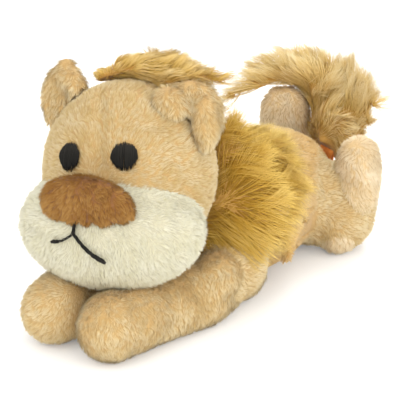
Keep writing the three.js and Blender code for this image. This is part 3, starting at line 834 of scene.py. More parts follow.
@dataclass(frozen=True)
class Stuffing:
    """How filling blows a sewn cover up between its seams, with sizes in millimetres."""

    shrink: float = 0.5
    cap: float = 1.3
    pressure: float = 4.0
    seam_reach: float = 1.2
    seam_width: float = 0.5
    enlarged: float = 10.0
    last_frame: int = 18

    def fill(self, cover: Object, panels: tuple[str, ...]) -> None:
        """Simulate the cover as cloth under pressure, held where its panels are sewn together.

        Args:
            cover: the closed cover, whose mesh is replaced.
            panels: the CAD nodes whose meeting lines are the seams.
        """
        places, normals, _ = mesh_arrays(cover.data)
        start = places - normals * self.shrink * MM
        trees = [Skin(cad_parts[panel]).tree for panel in panels]
        gaps = np.sort([[tree.find_nearest(point)[3] for tree in trees]
                        for point in places.tolist()], axis=1)
        seam = np.flatnonzero((gaps[:, 1] < self.seam_reach * MM)
                              & (gaps[:, 1] - gaps[:, 0] < self.seam_width * MM))
        cover.data.vertices.foreach_set("co", (start * self.enlarged).ravel())
        pins = cover.vertex_groups.new(name="seams")
        pins.add(seam.tolist(), 1.0, "REPLACE")
        cloth = cover.modifiers.new("cloth", "CLOTH")
        cloth.settings.quality = 4
        cloth.settings.use_pressure = True
        cloth.settings.uniform_pressure_force = self.pressure
        cloth.settings.effector_weights.gravity = 0
        cloth.settings.vertex_group_mass = pins.name
        cloth.settings.tension_stiffness = 12
        cloth.settings.compression_stiffness = 12
        cloth.settings.bending_stiffness = 0.4
        for number in range(1, self.last_frame + 1):
            bpy.context.scene.frame_set(number)
        baked(cover)
        cover.vertex_groups.clear()
        blown = mesh_arrays(cover.data)[0] / self.enlarged - start
        far = np.linalg.norm(blown, axis=1, keepdims=True)
        start = start + blown * np.minimum(1, self.cap * MM / np.maximum(far, 1e-9))
        start[:, 2] = np.maximum(start[:, 2], LOWEST_COVER)
        moved(cover, start)
        finer = cover.modifiers.new("finer", "SUBSURF")
        finer.levels = finer.render_levels = 1
        baked(cover)
        creased(cover)
        cover.data.shade_smooth()


@dataclass(frozen=True)
class Cover:
    """One stuffed cover: cloth panels sewn together round their filling, with sizes in millimetres."""

    name: str
    body: str
    panels: tuple[str, ...]
    finish: Cloth
    voxel: float = 1.1
    smoothing: int = 4
    stuffing: Stuffing = Stuffing()
    lumps: tuple[Matrix, ...] = ()
    cut_out: int = 0
    fullness: float = 0.8

    def sew(self, wardrobe: Wardrobe) -> None:
        """Sew the cover and stuff it. The last panels in the list may be cut out of it for other pieces.

        Args:
            wardrobe: what is sewn so far, which the cover joins.
        """
        made = joined_form(f"{self.name}_cover", node_meshes(*self.panels, f"{self.body}_filling"),
                           self.voxel, self.smoothing, lumps=self.lumps)
        self.stuffing.fill(made, self.panels)
        wardrobe.add(self.name, self.body, made, self.finish, *self.panels[:len(self.panels) - self.cut_out])


# Growth ----------------------------------------


def tone_of(points: Points, seed: int, size: float = 9 * MM, spread: float = 0.16) -> Points:
    """Draw each strand's tone: patches that drift slowly, with chance on top.

    Args:
        points: the strands' roots.
        seed: the random seed.
        size: the length of the patches.
        spread: how far the patches differ.

    Returns:
        Tones from 0, deep, to 1, pale.
    """
    chance = np.random.default_rng(seed + 1).normal(0, 0.12, len(points))
    return 0.55 + spread * waves(points, size, seed)[:, 0] + chance


def along_cloth(directions: Points, normals: Points) -> Points:
    """Take out of each direction what points away from the cloth."""
    return directions - (directions * normals).sum(1, keepdims=True) * normals


def hair_paths(growth: Growth, skin: Skin, roots: Points, normals: Points, lean: Points, lengths: Points,
               rise: Points) -> Points:
    """Let each strand rise, bend over and lie down along its lean.

    Args:
        growth: how the fibre grows.
        skin: the cloth that carries it, which long fur keeps close to.
        roots: where the strands stand.
        normals: the cloth's normals there.
        lean: the direction along the cloth of each strand.
        lengths: each strand's length.
        rise: how steeply each strand starts.

    Returns:
        For each strand a point for each ring.
    """
    steps = len(growth.strand.taper) - 1
    path = [roots - normals * 0.25 * MM]
    ahead = unit(lean + normals * rise * 1.4)
    for step in range(steps):
        share = (step + 1) / steps
        aim = path[-1] + ahead * lengths[:, None] / steps
        if growth.hold:
            spots, faces = skin.nearest(aim)
            lift = growth.rise * lengths[:, None] * share * 0.45
            hold = growth.hold * (1 - 0.75 * share)
            aim = aim + (spots + faces * lift - aim) * hold
        turned = unit(aim - path[-1])
        path.append(aim)
        ahead = unit(turned * 0.75 + ahead * 0.25 + lean * 0.25 - normals * 0.12 * rise)
    return np.stack(path, 1)


def grow(name: str, skin: Skin, growth: Growth, comb: Rule, seed: int, keep: Rule | None = None,
         tone: Rule | None = None, long: Rule | None = None, under: Iterable[Skin] = ()) -> Object:
    """Grow pile or fur on a skin and give it its finish.

    Args:
        name: the piece's name.
        skin: the cloth that carries it.
        growth: how it grows.
        comb: gives the direction in which the fibre lies at each root.
        seed: the random seed.
        keep: tells which roots carry a strand.
        tone: gives what is added to each strand's tone.
        long: gives the share of the full length at each root.
        under: skins beneath which nothing grows.

    Returns:
        The new piece.
    """
    rng = np.random.default_rng(seed)
    roots, normals = skin.roots(growth.per_mm2, rng)
    if keep is not None:
        kept = keep(roots)
        roots, normals = roots[kept], normals[kept]
    for sheet in under:
        kept = ~sheet.over(roots, normals)
        roots, normals = roots[kept], normals[kept]
    wander = along_cloth(waves(roots, growth.wave_size * MM, seed + 2), normals)
    lean = unit(along_cloth(comb(roots), normals))
    lean = unit(lean + growth.wave * wander + rng.normal(0, 0.12, roots.shape))
    lengths = growth.length * MM * rng.uniform(0.75, 1.15, len(roots))
    if long is not None:
        lengths = lengths * long(roots)
    rise = growth.rise * rng.uniform(0.7, 1.3, (len(roots), 1))
    paths = hair_paths(growth, skin, roots, normals, lean, lengths, rise)
    # Some strands lead a clump: the first draw tells whether there are any, the second picks them.
    chance, leading = 0.0, 1 / (growth.per_mm2 * growth.clump_size ** 2)
    if (rng.random(len(roots)) < leading).any():
        tree = KDTree(len(roots))
        for number in np.flatnonzero(rng.random(len(roots)) < leading).tolist():
            tree.insert(roots[number].tolist(), number)
        tree.balance()
        mine = np.array([tree.find(root)[1] for root in roots.tolist()])
        draw = growth.clump * np.linspace(0, 1, paths.shape[1]) ** 1.3
        paths = paths + (paths[mine] - paths) * draw[None, :, None]
        chance = np.random.default_rng(seed + 5).normal(0, 0.14, len(roots))[mine]
    widths = growth.width * MM * rng.uniform(0.75, 1.2, len(roots))
    tones = tone_of(roots, seed + 3) + chance
    # Painted shade in the folds: strands near each crease get a darker tone.
    for crease in CREASES:
        tones = tones - crease.shade * crease.nearness(roots)
    if tone is not None:
        tones = tones + tone(roots)
    made = growth.strand.lay(name, paths, widths, tones, normals, 0.25)
    growth.finish.dress(made)
    return made


# The lion's parts ------------------------------


@dataclass
class Torso:
    """The body, with its mane, with sizes in millimetres."""

    wardrobe: Wardrobe
    voxel: float = 1.2
    seam_height: float = 15.0
    pile: Growth = Growth(TAN_PILE, 8.5)
    fur: Growth = Growth(MANE_FUR, 3.1, 15.0, 0.22, 0.3, 0.5, 2.0, 0.42, 12.0, 0.85, FUR_STRAND)
    comb: Rule = CHEST.fall(0, 1, -0.45)
    mane_reach: float = 38.5
    mane_spread: float = 1.4
    mane_widens: tuple[float, float] = (16.0, 20.0)
    outwards: Triple = (0.7, 0.7, 0.4)
    backwards: Triple = (0.0, 0.95, 0.0)
    droop: Triple = (0.0, 0.0, 0.6)
    ragged: float = 13.0
    ragged_backing: float = 16.0
    hem: tuple[float, float] = (5.0, 6.0)

    def sew(self) -> None:
        """Make and stuff the body's cover, and make the mane's backing."""
        Cover("torso", "body", ("back_panel", "belly_panel"), TAN_BACKING, self.voxel).sew(self.wardrobe)
        halves = ("mane_left", "mane_right")
        mane = joined_form("mane_backing", node_meshes(*halves), 1.0, 10, -0.9)
        self.wardrobe.add("mane", None, mane, FUR_BACKING, *halves)

    def brush(self, roots: Points) -> Points:
        """Mane fur runs outwards from the face and back, drooping at the sides.

        Args:
            roots: where the strands stand.

        Returns:
            A direction for each strand.
        """
        away = unit(roots - HEAD.out(0, 0, -6))
        fall = np.clip(1 - (roots[:, 2:] - 20 * MM) / (40 * MM), 0.35, 1)
        return away * np.array(self.outwards) + np.array(self.backwards) - np.array(self.droop) * fall

    def to_edge(self, roots: Points) -> Points:
        """Measure how far it is from each root to the mane's edge, which is wider higher up.

        Args:
            roots: where the strands stand.

        Returns:
            Millimetres, below zero beyond the edge.
        """
        low, rise = self.mane_widens
        reach = self.mane_reach + self.mane_spread * np.clip(roots[:, 2] / MM - low, 0, rise)
        return reach - np.linalg.norm(roots - HEAD.out(0, 0, 0), axis=1) / MM

    def strand_share(self, roots: Points) -> Points:
        """Mane fur is long at the face and ends at the mane's edge."""
        return np.clip((self.to_edge(roots) + 3) / self.fur.length, 0.4, 1.2)

    def edge_tone(self, roots: Points) -> Points:
        """Mane fur is paler towards the mane's edge."""
        return np.clip((14 - self.to_edge(roots)) / 24, -0.4, 0.25)

    def grow(self) -> None:
        """Grow the body's pile and then the mane."""
        skin, clear = self.wardrobe.skins["torso"], self.wardrobe.clear_of
        limbs = [f"{side.word}_{part}" for part in ("foreleg", "hind_leg") for side in Side]
        for name, above in (("back", True), ("belly", False)):
            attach(grow(f"{name}_pile", skin, self.pile, self.comb, 11 + above, lambda p: (
                ((p[:, 2] > self.seam_height * MM) == above) & (p[:, 2] > LOWEST_ROOT)
                & clear(p, ["head", *limbs, "tail"], -0.6 * MM) & clear(p, ["mane"], 0)),
                under=self.wardrobe.sheets.values()), "body")
        self.grow_mane(skin, self.wardrobe.skins["mane"])

    def grow_mane(self, skin: Skin, mane: Skin) -> None:
        """Grow the mane's long fur, and the short pile of its hem.

        Args:
            skin: the body's cover.
            mane: the mane's backing.
        """
        clear, forelegs = self.wardrobe.clear_of, ["left_foreleg", "right_foreleg"]
        whole = joined_form("mane_ground", [skin.thing.data, mane.thing.data], self.voxel, 2)
        ground, thinning = Skin(whole), np.random.default_rng(25)
        pieces = [grow(f"mane_{side.word}_fur", ground, self.fur, self.brush, 21 + side.value, lambda p: (
            (p[:, 0] * side.value >= 0)
            & (((self.to_edge(p) > thinning.random(len(p)) * self.ragged) & (p[:, 2] > self.seam_height * MM))
               | ((mane.height(p) < 0.5 * MM)
                  & (self.to_edge(p) > thinning.random(len(p)) * self.ragged_backing - 7)))
            & clear(p, forelegs, 1.2 * MM) & clear(p, ["head"], 0.3 * MM)),
            self.edge_tone, self.strand_share) for side in Side]
        least, more = self.hem
        pieces.append(grow("mane_hem_pile", mane, self.pile, self.comb, 27, lambda p: (
            (self.to_edge(p) < thinning.random(len(p)) * more + least) & (p[:, 2] > LOWEST_ROOT)
            & clear(p, ["torso"], -0.4 * MM) & clear(p, forelegs, 2 * MM) & clear(p, ["head"], 0.3 * MM))))
        bpy.data.objects.remove(whole)
        for piece in (*pieces, mane.thing):
            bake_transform(piece)


@dataclass
class Head:
    """The head with its muzzle, nose, eyes, mouth, ears and crest, with sizes in millimetres."""

    wardrobe: Wardrobe
    # The face's pile is the tan pile darkened as painted shade.
    pile: Growth = Growth(SHADED_FACE_PILE, 9.5, 1.8, 0.28)
    muzzle_pile: Growth = Growth(CREAM_PILE, 9.0, 2.3, 0.28, 0.5, 0.4, 1.1)
    nose_pile: Growth = Growth(BROWN_PILE, 16.0, 1.8, 0.22, 0.6, 0.35)
    ear_pile: Growth = Growth(PALE_PILE, 10.0, 2.0, 0.26, 0.5, 0.4)
    fur: Growth = Growth(CREST_FUR, 8.0, 8.5, 0.2, 0.5, 0.45, 2.5, 0.4, 12.0, 0.7, FUR_STRAND)
    head_half: Triple = (25.0, 20.5, 25.0)
    muzzle_half: Triple = (27.0, 17.5, 17.0)
    muzzle_place: Triple = (-0.8, -9.0, -14.0)
    eye_half: tuple[float, float] = (4.0, 4.2)
    eye_angles: tuple[float, float] = (20.0, 18.0)
    eye_rises: tuple[float, float] = (7.4, 6.5)
    eye_hem: float = 0.8
    needle: float = 4.0
    thread: float = 0.42
    stitch_pitch: float = 0.62
    ragged_ends: tuple[float, float] = (-0.2, 0.45)
    wander: float = 0.06
    curled_ear: tuple[Matrix, ...] = (
        HEAD.lump((14.6, -5.0, 18.6), (5.4, 4.4, 5.4)), HEAD.lump((24.0, -2.5, 14.0), (3.8, 3.5, 8.0)),
        HEAD.lump((22.3, -1.2, 11.5), (3.0, 2.6, 5.5)))
    pointed_ear: tuple[Matrix, ...] = (HEAD.lump((-18.8, -0.5, 26.0), (3.4, 2.6, 4.4)),)
    crest_back: tuple[Matrix, ...] = (HEAD.lump((3.0, 7.5, 23.5), (13.0, 3.5, 3.2)),)
    mouth_middle: tuple[float, float] = (-0.8, -14.0)
    before: float = -40.0
    mouth: tuple[tuple, ...] = (
        (((-1.0, 4.5), (-1.4, 0.7)), (0.55, 0.55, 0.55), 0.0),
        (((-1.4, 0.7), (6.2, -5.8)), (0.5, 0.6, 0.8), 0.6),
        (((-1.4, 0.7), (-8, -1.8)), (0.3, 0.3, 0.65), 0.6))

    def sew(self) -> None:
        """Make and stuff the head's cover, and cut the muzzle, nose, ears and crest."""
        panels = ("face_left_panel", "face_right_panel", "head_back_panel", "muzzle_panel")
        Cover("head", "head", panels, TAN_BACKING, smoothing=3, cut_out=1, fullness=0.85).sew(self.wardrobe)
        self.sew_muzzle(panels)
        for name, nodes, voxel, smoothing, swell, finish, lumps in (
                ("nose", ("nose_patch",), 0.7, 4, 0.0, BROWN_BACKING, ()),
                ("left_ear", ("left_ear_back", "left_ear_front"), 0.8, 5, -0.3, TAN_BACKING,
                 self.curled_ear),
                ("right_ear", ("right_ear_back", "right_ear_front"), 0.8, 4, -0.3, TAN_BACKING,
                 self.pointed_ear),
                ("crest", ("crest_tuft",), 0.9, 5, -0.9, FUR_BACKING, self.crest_back)):
            made = joined_form(f"{name}_cover", node_meshes(*nodes), voxel, smoothing, swell, lumps)
            self.wardrobe.add(name, "head", made, finish, *nodes)

    def sew_muzzle(self, panels: tuple[str, ...]) -> None:
        """Cut the cream cloth of the muzzle out of the head's cover.

        Args:
            panels: the head's CAD panels, with the muzzle last.
        """
        bm = bmesh.new()
        bm.from_mesh(self.wardrobe.skins["head"].thing.data)
        trees = [Skin(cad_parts[panel]).tree for panel in panels]
        away = [f for f in bm.faces if np.argmin(
            [tree.find_nearest(f.calc_center_median())[3] for tree in trees]) != len(trees) - 1]
        bmesh.ops.delete(bm, geom=away, context="FACES")
        made = from_bmesh("muzzle_cover", bm)
        walled(made, 0.9, -0.6)
        self.wardrobe.add("muzzle", "head", made, CREAM_BACKING, panels[-1])

    def on_muzzle(self, points: Points) -> Points:
        """Tell which points of the cover lie on the muzzle's egg rather than the head's.

        Args:
            points: places on the cover.

        Returns:
            True for each point on the muzzle.
        """
        local = HEAD.into(points)
        muzzle = (local - np.array(self.muzzle_place)) / np.array(self.muzzle_half)
        head = local / np.array(self.head_half)
        return (muzzle ** 2).sum(1) < (head ** 2).sum(1)

    def in_eye(self, points: Points) -> Points:
        """Tell which points lie under an embroidered eye.

        Args:
            points: places on the cover.

        Returns:
            True for each point under an eye.
        """
        local = HEAD.into(points)
        inside = np.zeros(len(points), bool)
        for side in Side:
            centre, across, out = self.eye_centre(side)
            start = HEAD.out(*(centre + out * self.needle))
            offset = local - HEAD.into(self.wardrobe.skins["head"].nearest(start[None])[0])
            reach = ((offset @ across) / (self.eye_half[0] - self.eye_hem)) ** 2
            reach += (offset[:, 2] / (self.eye_half[1] - self.eye_hem)) ** 2
            inside |= (reach < 1) & (local[:, 1] < 0)
        return inside

    def eye_centre(self, side: Side) -> tuple[Points, Points, Points]:
        """Find the middle of an eye on the head's egg.

        Args:
            side: whose eye.

        Returns:
            The local middle, and the local directions across the eye and level out of it.
        """
        which = list(Side).index(side)
        angle, rise = math.radians(self.eye_angles[which]) * side.value, self.eye_rises[which]
        width, depth, height = self.head_half
        level = math.sqrt(1 - (rise / height) ** 2)
        centre = np.array([width * level * math.sin(angle), -depth * level * math.cos(angle), rise])
        return (centre, np.array([math.cos(angle), math.sin(angle), 0.0]),
                np.array([math.sin(angle), -math.cos(angle), 0.0]))

    def crest_comb(self, roots: Points) -> Points:
        """Crest fur sweeps up and to the lion's left, and its first bit to the right.

        Args:
            roots: where the strands stand.

        Returns:
            A direction for each strand.
        """
        across = HEAD.into(roots)[:, :1]
        turn = np.clip((across + 6) / 4, -0.35, 1)
        return turn * HEAD.along(0.9, 0, 0) + HEAD.along(0, 0.1, 0.55)

    def crest_share(self, roots: Points) -> Points:
        """Crest fur is short on the lion's right and long where it swirls over."""
        return np.clip(0.65 + (HEAD.into(roots)[:, 0] + 2) / 14, 0.35, 1.1)

    def grow(self) -> None:
        """Grow every pile on the head, combed outwards from the nose and down from the ears' rims."""
        skins, clear = self.wardrobe.skins, self.wardrobe.clear_of
        over_ear = HEAD.fall(0, 0.2, -1)
        for name, skin, growth, comb, seed, keep, long in (
                ("face_pile", "head", self.pile, HEAD.fan((0, -24, 0)), 31, lambda p: (
                    ~self.on_muzzle(p) & ~self.in_eye(p)
                    & clear(p, ["left_ear", "right_ear", "mane", "torso", "crest"], -0.2 * MM)), None),
                ("muzzle_pile", "head", self.muzzle_pile, HEAD.fan((-0.8, -30, -8), (0, 0, -0.5)), 32,
                 lambda p: self.on_muzzle(p) & clear(p, ["nose", "torso"], -0.2 * MM), None),
                ("nose_pile", "nose", self.nose_pile, HEAD.fan((1, -24, -2), (0, 0, -0.7)), 33,
                 lambda p: clear(p, ["head"], 0.2 * MM), None),
                ("left_ear_pile", "left_ear", self.ear_pile, over_ear, 34,
                 lambda p: clear(p, ["head"]), None),
                ("right_ear_pile", "right_ear", self.ear_pile, over_ear, 35,
                 lambda p: clear(p, ["head"]), None),
                ("crest_fur", "crest", self.fur, self.crest_comb, 36,
                 lambda p: clear(p, ["head"], -0.4 * MM), self.crest_share)):
            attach(grow(name, skins[skin], growth, comb, seed, keep, long=long), "head")

    def embroider(self) -> None:
        """Stitch the eyes and the mouth."""
        for side in Side:
            self.stitch_eye(side)
        self.stitch_mouth()

    def stitch_eye(self, side: Side) -> None:
        """Fill one eye with threads laid side by side, higher in its middle than at its rim.

        Args:
            side: whose eye.
        """
        rng = np.random.default_rng(41 + side.value)
        centre, across, out = self.eye_centre(side)
        half_width, half_height = self.eye_half
        rows = np.arange(-half_width + 0.2, half_width, self.thread * self.stitch_pitch)
        rings = len(THREAD_STRAND.taper)
        paths = []
        for row in rows:
            reach = half_height * math.sqrt(max(0.02, 1 - (row / half_width) ** 2))
            low, high = -reach - rng.uniform(*self.ragged_ends), reach + rng.uniform(*self.ragged_ends)
            stops = np.linspace(low, high, rings)
            far = (row / half_width) ** 2 + (stops / half_height / 1.1) ** 2
            local = (centre + across * (row + rng.normal(0, self.wander, (rings, 1)))
                     + np.outer(stops, [0, 0, 1]))
            paths.append((local, np.sqrt(np.clip(1 - 0.8 * far, 0, 1))))
        skin = self.wardrobe.skins["head"]
        lines = []
        for local, swell in paths:
            world = np.array([HEAD.out(*(point + out * self.needle)) for point in local])
            spots, normals = skin.nearest(world)
            lines.append(spots + normals * (0.35 + swell[:, None] + rng.uniform(0, 0.15)) * MM)
        lines = np.array(lines)
        tones = rng.uniform(0.1, 0.9, len(lines))
        outwards = np.tile(HEAD.along(*out), (len(lines), 1))
        widths = np.full(len(lines), self.thread * MM)
        self.tie_off(THREAD_STRAND.lay(f"{side.word}_eye_stitches", lines, widths, tones, outwards, 0.0),
                     f"{side.word}_eye")

    def stitch_mouth(self) -> None:
        """Lay three-ply twisted thread for the mouth: a stem and two sagging arms, in three stitches each."""
        skin = self.wardrobe.skins["head"]
        rings, plies, (middle, height) = len(THREAD_STRAND.taper), 3, self.mouth_middle
        paths, outwards, widths = [], [], []
        for (start, end), weights, sag in self.mouth:
            stops = np.linspace(0, 1, len(weights) + 1)
            for begin, finish, weight in zip(stops, stops[1:], weights):
                widths += [weight * MM] * plies
                for ply in range(plies):
                    shares = np.linspace(begin - 0.06, finish + 0.06, rings)
                    flat = np.array(start)[None] + np.outer(shares, np.array(end) - np.array(start))
                    drop = sag * np.sin(math.pi * np.clip(shares, 0, 1))
                    twist = 2 * math.pi * (shares * 2 + ply / plies)
                    local = np.stack([
                        flat[:, 0] + middle, np.full(rings, self.before), flat[:, 1] + height - drop], 1)
                    spots, normals = map(np.array, zip(*(self.hit(skin, row) for row in local)))
                    sideways = unit(np.cross(normals, np.gradient(spots, axis=0)))
                    paths.append(spots + normals * (1.5 + 0.25 * np.sin(twist)[:, None]) * MM
                                 + sideways * 0.25 * MM * np.cos(twist)[:, None])
                    outwards.append(normals.mean(0))
        self.tie_off(THREAD_STRAND.lay("mouth_stitches", np.array(paths), np.array(widths),
                                       np.linspace(0.2, 0.8, len(paths)), unit(np.array(outwards)), 0.0),
                     "mouth_stitch")

    def tie_off(self, stitches: Object, node: str) -> None:
        """Finish a piece of embroidery, which stands for one CAD node and rides on the head.

        Args:
            stitches: the piece.
            node: the CAD node's name.
        """
        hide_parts(node)
        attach(stitches, "head")
        BLACK_THREAD.dress(stitches)

    def hit(self, skin: Skin, local: Points) -> tuple[Points, Points]:
        """Find the place on a skin that a needle reaches from in front.

        Args:
            skin: the cloth.
            local: where the needle starts, in the head's frame.

        Returns:
            The place and its normal.
        """
        spot, normal, _, _ = skin.tree.ray_cast(Vector(HEAD.out(*local)), Vector(HEAD.along(0, 1, 0)))
        return np.array(spot[:]), np.array(normal[:])


@dataclass
class Limb:
    """A stuffed limb that bends where it is sewn to the body."""

    wardrobe: Wardrobe
    side: Side
    part: str
    cloths: tuple[str, str]
    backing: Cloth
    pile: Growth
    fall: Triple
    seed: int

    @property
    def name(self) -> str:
        """The limb's body in the record."""
        return f"{self.side.word}_{self.part}"

    def lumps(self) -> tuple[Matrix, ...]:
        """A limb needs no more filling than its solids show, unless its kind says so."""
        return ()

    def sew(self) -> None:
        """Make and stuff the cover."""
        Cover(self.name, self.name, tuple(f"{self.name}_{cloth}" for cloth in self.cloths), self.backing,
              stuffing=Stuffing(shrink=0.4, cap=1.1), lumps=self.lumps()).sew(self.wardrobe)

    def grow(self) -> None:
        """Grow the pile, which on the two sides falls outwards alike."""
        aside, back, up = self.fall
        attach(grow(f"{self.name}_pile", self.wardrobe.skins[self.name], self.pile,
                     CHEST.fall(aside * self.side.value, back, up), self.seed + self.side.value,
                     lambda p: self.wardrobe.clear_of(p, ["torso"], -1.0 * MM) & (p[:, 2] > LOWEST_ROOT),
                     under=self.wardrobe.sheets.values()), self.name)


@dataclass
class Foreleg(Limb):
    """A foreleg stretched out in front, with its magnet inside. Its pile falls outwards and to the paw."""

    part: str = "foreleg"
    cloths: tuple[str, str] = ("upper", "under")
    backing: Cloth = TAN_BACKING
    pile: Growth = Growth(PALE_PILE, 9.0)
    fall: Triple = (0.6, -0.3, -0.8)
    seed: int = 51

    def lumps(self) -> tuple[Matrix, ...]:
        """The paw is stuffed fuller than the arm.

        Returns:
            Balls for the paw, the wrist, the arm and the elbow.
        """
        s = self.side.value
        return (CHEST.lump((9.5 * s, -70.0, 9.4), (9.3, 11.0, 9.8)),
                CHEST.lump((10.8 * s, -62.0, 9.4), (9.6, 15.0, 9.8)),
                CHEST.lump((13.5 * s, -46.0, 9.2), (9.2, 15.0, 9.4)),
                CHEST.lump((18.8 * s, -34.5, 13.5), (7.0, 10.0, 7.5)))


@dataclass
class HindLeg(Limb):
    """A hind leg folded up beside the rump, its sole turned out. Its pile runs down from the sole's rim."""

    part: str = "hind_leg"
    cloths: tuple[str, str] = ("outer", "inner")
    backing: Cloth = STRAW_BACKING
    pile: Growth = Growth(FOOT_PILE, 9.0)
    fall: Triple = (0.0, 0.3, -1.0)
    seed: int = 61


@dataclass
class Gusset:
    """Cloth that runs on from the body into a limb, so that the joint between them has no gap.

    Its start and end are in metres, and the other sizes in millimetres.
    """

    wardrobe: Wardrobe
    name: str
    limb: str
    lumps: tuple[Matrix, ...]
    start: Points
    end: Points
    reach: float = 26.0
    pile: Growth = Growth(PALE_PILE, 8.5)
    comb: Rule = CHEST.fall(0, 1, -0.45)
    voxel: float = 1.2
    proud: float = 0.25
    wall: float = 0.9
    hem_rows: int = 2

    def sew(self) -> None:
        """Drape the cloth over the lumps between the body and the limb."""
        torso, limb = self.wardrobe.skins["torso"], self.wardrobe.skins[self.limb]
        whole = joined_form(f"{self.name}_whole", [torso.thing.data, limb.thing.data], self.voxel, 10,
                            lumps=self.lumps)
        bm = bmesh.new()
        bm.from_mesh(whole.data)
        bpy.data.objects.remove(whole)
        bm.faces.ensure_lookup_table()
        middles = np.array([f.calc_center_median()[:] for f in bm.faces])
        heights = np.minimum(torso.height(middles), limb.height(middles))
        near = np.min([np.linalg.norm(middles - np.array(lump.translation), axis=1)
                       for lump in self.lumps], 0)
        kept = set(np.flatnonzero((heights > self.proud * MM) & (near < self.reach * MM)).tolist())
        for _ in range(self.hem_rows):
            kept |= {f.index for i in kept for v in bm.faces[i].verts for f in v.link_faces}
        bmesh.ops.delete(bm, geom=[f for f in bm.faces if f.index not in kept], context="FACES")
        self.wardrobe.sheets[self.name] = Skin(creased(from_bmesh(f"{self.name}_cover", bm)))

    def grow(self) -> None:
        """Grow the pile, and give the cloth its wall and its finish."""
        skin = self.wardrobe.sheets[self.name]
        made = grow(f"{self.name}_pile", skin, self.pile, self.comb, 81, lambda p: (
            self.wardrobe.clear_of(p, ["torso", self.limb, "mane"], -2.5 * MM) & (p[:, 2] > LOWEST_ROOT)))
        walled(skin.thing, self.wall)
        TAN_BACKING.dress(skin.thing)
        for piece in (skin.thing, made):
            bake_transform(piece)


def gussets(wardrobe: Wardrobe) -> list[Gusset]:
    """List the gussets of the hips and shoulders.

    Args:
        wardrobe: what is sewn so far.

    Returns:
        Four gussets, not yet sewn.
    """
    made = []
    for side in Side:
        s = side.value
        haunch = (RUMP.lump((12.5 * s, 1.0, 14.7), (11.0, 12.0, 13.7)),
                  RUMP.lump((18.8 * s, 7.5, 10.0), (9.6, 11.0, 10.0)))
        shoulder = (CHEST.lump((17.2 * s, -25.5, 12.4), (8.6, 12.5, 10.3)),)
        made += [
            Gusset(wardrobe, f"{side.word}_haunch", f"{side.word}_hind_leg", haunch,
                   RUMP.out(10.0 * s, -10.0, 14.0), RUMP.out(25.0 * s, 5.0, 14.0)),
            Gusset(wardrobe, f"{side.word}_shoulder", f"{side.word}_foreleg", shoulder,
                   CHEST.out(10.0 * s, -24.0, 12.0), CHEST.out(20.0 * s, -32.0, 12.0), reach=16.5)]
    return made


@dataclass
class Tail:
    """The short tail and its big tuft, with sizes in millimetres in the rump's frame."""

    wardrobe: Wardrobe
    fur: Growth = Growth(TAIL_FUR, 5.0, 11.0, 0.2, 0.5, 0.42, 1.7, 0.45, 10.0, 0.5, FUR_STRAND)
    lumps: tuple[Matrix, ...] = (
        RUMP.lump((-5, 17.8, 30), (7, 4.5, 8.5)), RUMP.lump((2.5, 18.5, 27.5), (7, 4.5, 9.0)),
        RUMP.lump((-11, 18.5, 27.5), (4.5, 4, 8)))
    ribbon_place: Triple = (-2.2, 15.0, 22)
    ribbon_room: float = 6.2
    fan_middle: Triple = (-12, 18, 24)
    lift: Triple = (0.0, 0.0, 0.15)
    droop: Triple = (0.0, 0.0, 0.7)
    wing_edge: float = -14.0
    wing_width: float = 8.0

    def sew(self) -> None:
        """Make the tail's backing."""
        nodes = ("tail_core", "tail_tuft")
        made = joined_form("tail_backing", node_meshes(*nodes), 1.0, 8, -1.3, self.lumps)
        self.wardrobe.add("tail", "tail", made, FUR_BACKING, *nodes)

    def wing(self, roots: Points) -> Points:
        """Tell how far roots lie out on the wing that hangs to the lion's right, from 0 to 1."""
        return np.clip((self.wing_edge - RUMP.into(roots)[:, 0]) / self.wing_width, 0, 1)

    def comb(self, roots: Points) -> Points:
        """Tuft fur fans out from the end of the tail and hangs on the wing."""
        fan = unit(roots - RUMP.out(*self.fan_middle)) + np.array(self.lift)
        return fan - self.wing(roots)[:, None] * np.array(self.droop)

    def share(self, roots: Points) -> Points:
        """Tuft fur is short on the tail's core and longer high up and on the wing."""
        return np.clip(np.maximum((roots[:, 2] / MM - 28) / 9, 0.85 * self.wing(roots)), 0.4, 1)

    def shade(self, roots: Points) -> Points:
        """Tuft fur is browner near its root."""
        far = np.linalg.norm(roots - RUMP.out(-10, 17, 28), axis=1) / MM
        return np.clip((far - 10) / 18, -0.4, 0.5)

    def grow(self) -> None:
        """Grow the tuft clear of the ribbon."""
        around = RUMP.out(*self.ribbon_place)
        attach(grow("tail_fur", self.wardrobe.skins["tail"], self.fur, self.comb, 71, lambda p: (
            self.wardrobe.clear_of(p, ["torso", "left_hind_leg", "right_hind_leg"], 0.3 * MM)
            & (np.linalg.norm(p - around, axis=1) > self.ribbon_room * MM)), self.shade, self.share), "tail")


@dataclass
class Ribbon:
    """The bare orange ribbon, folded over and sewn into the rump's seam, with sizes in millimetres."""

    seam: Triple = (-3.7, 15.75, 15)
    width: float = 7.0
    length: float = 9.6
    lean: float = 2.4
    thickness: float = 0.45
    gap: float = 0.7
    bulge: float = 0.25
    sunk: float = 0.3
    bend: float = 11.0

    def make(self) -> None:
        """Fold the ribbon and stand it in the seam."""
        aside, back, up = self.seam
        bm = bmesh.new()
        bmesh.ops.create_grid(bm, x_segments=14, y_segments=28, size=0.5)
        for vertex in bm.verts:
            across, along = vertex.co.x * self.width, (vertex.co.y + 0.5) * 2
            rise = min(along, 2 - along)
            height = self.length * rise
            fold = self.gap * math.tanh((along - 1) * 9)
            bulge = self.bulge * math.sin(math.pi * rise) * (1 if along > 1 else -1)
            lean = self.lean * (height / self.length) ** 1.5
            vertex.co = Vector(RUMP.out(
                across + aside + lean, back + fold / 2 + bulge, up + height - self.sunk))
        bmesh.ops.recalc_face_normals(bm, faces=bm.faces[:])
        made = from_bmesh("folded_ribbon", bm)
        walled(made, self.thickness, 0)
        made.data.shade_smooth()
        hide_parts("label")
        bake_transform(made)
        ORANGE_RIBBON.dress(made)


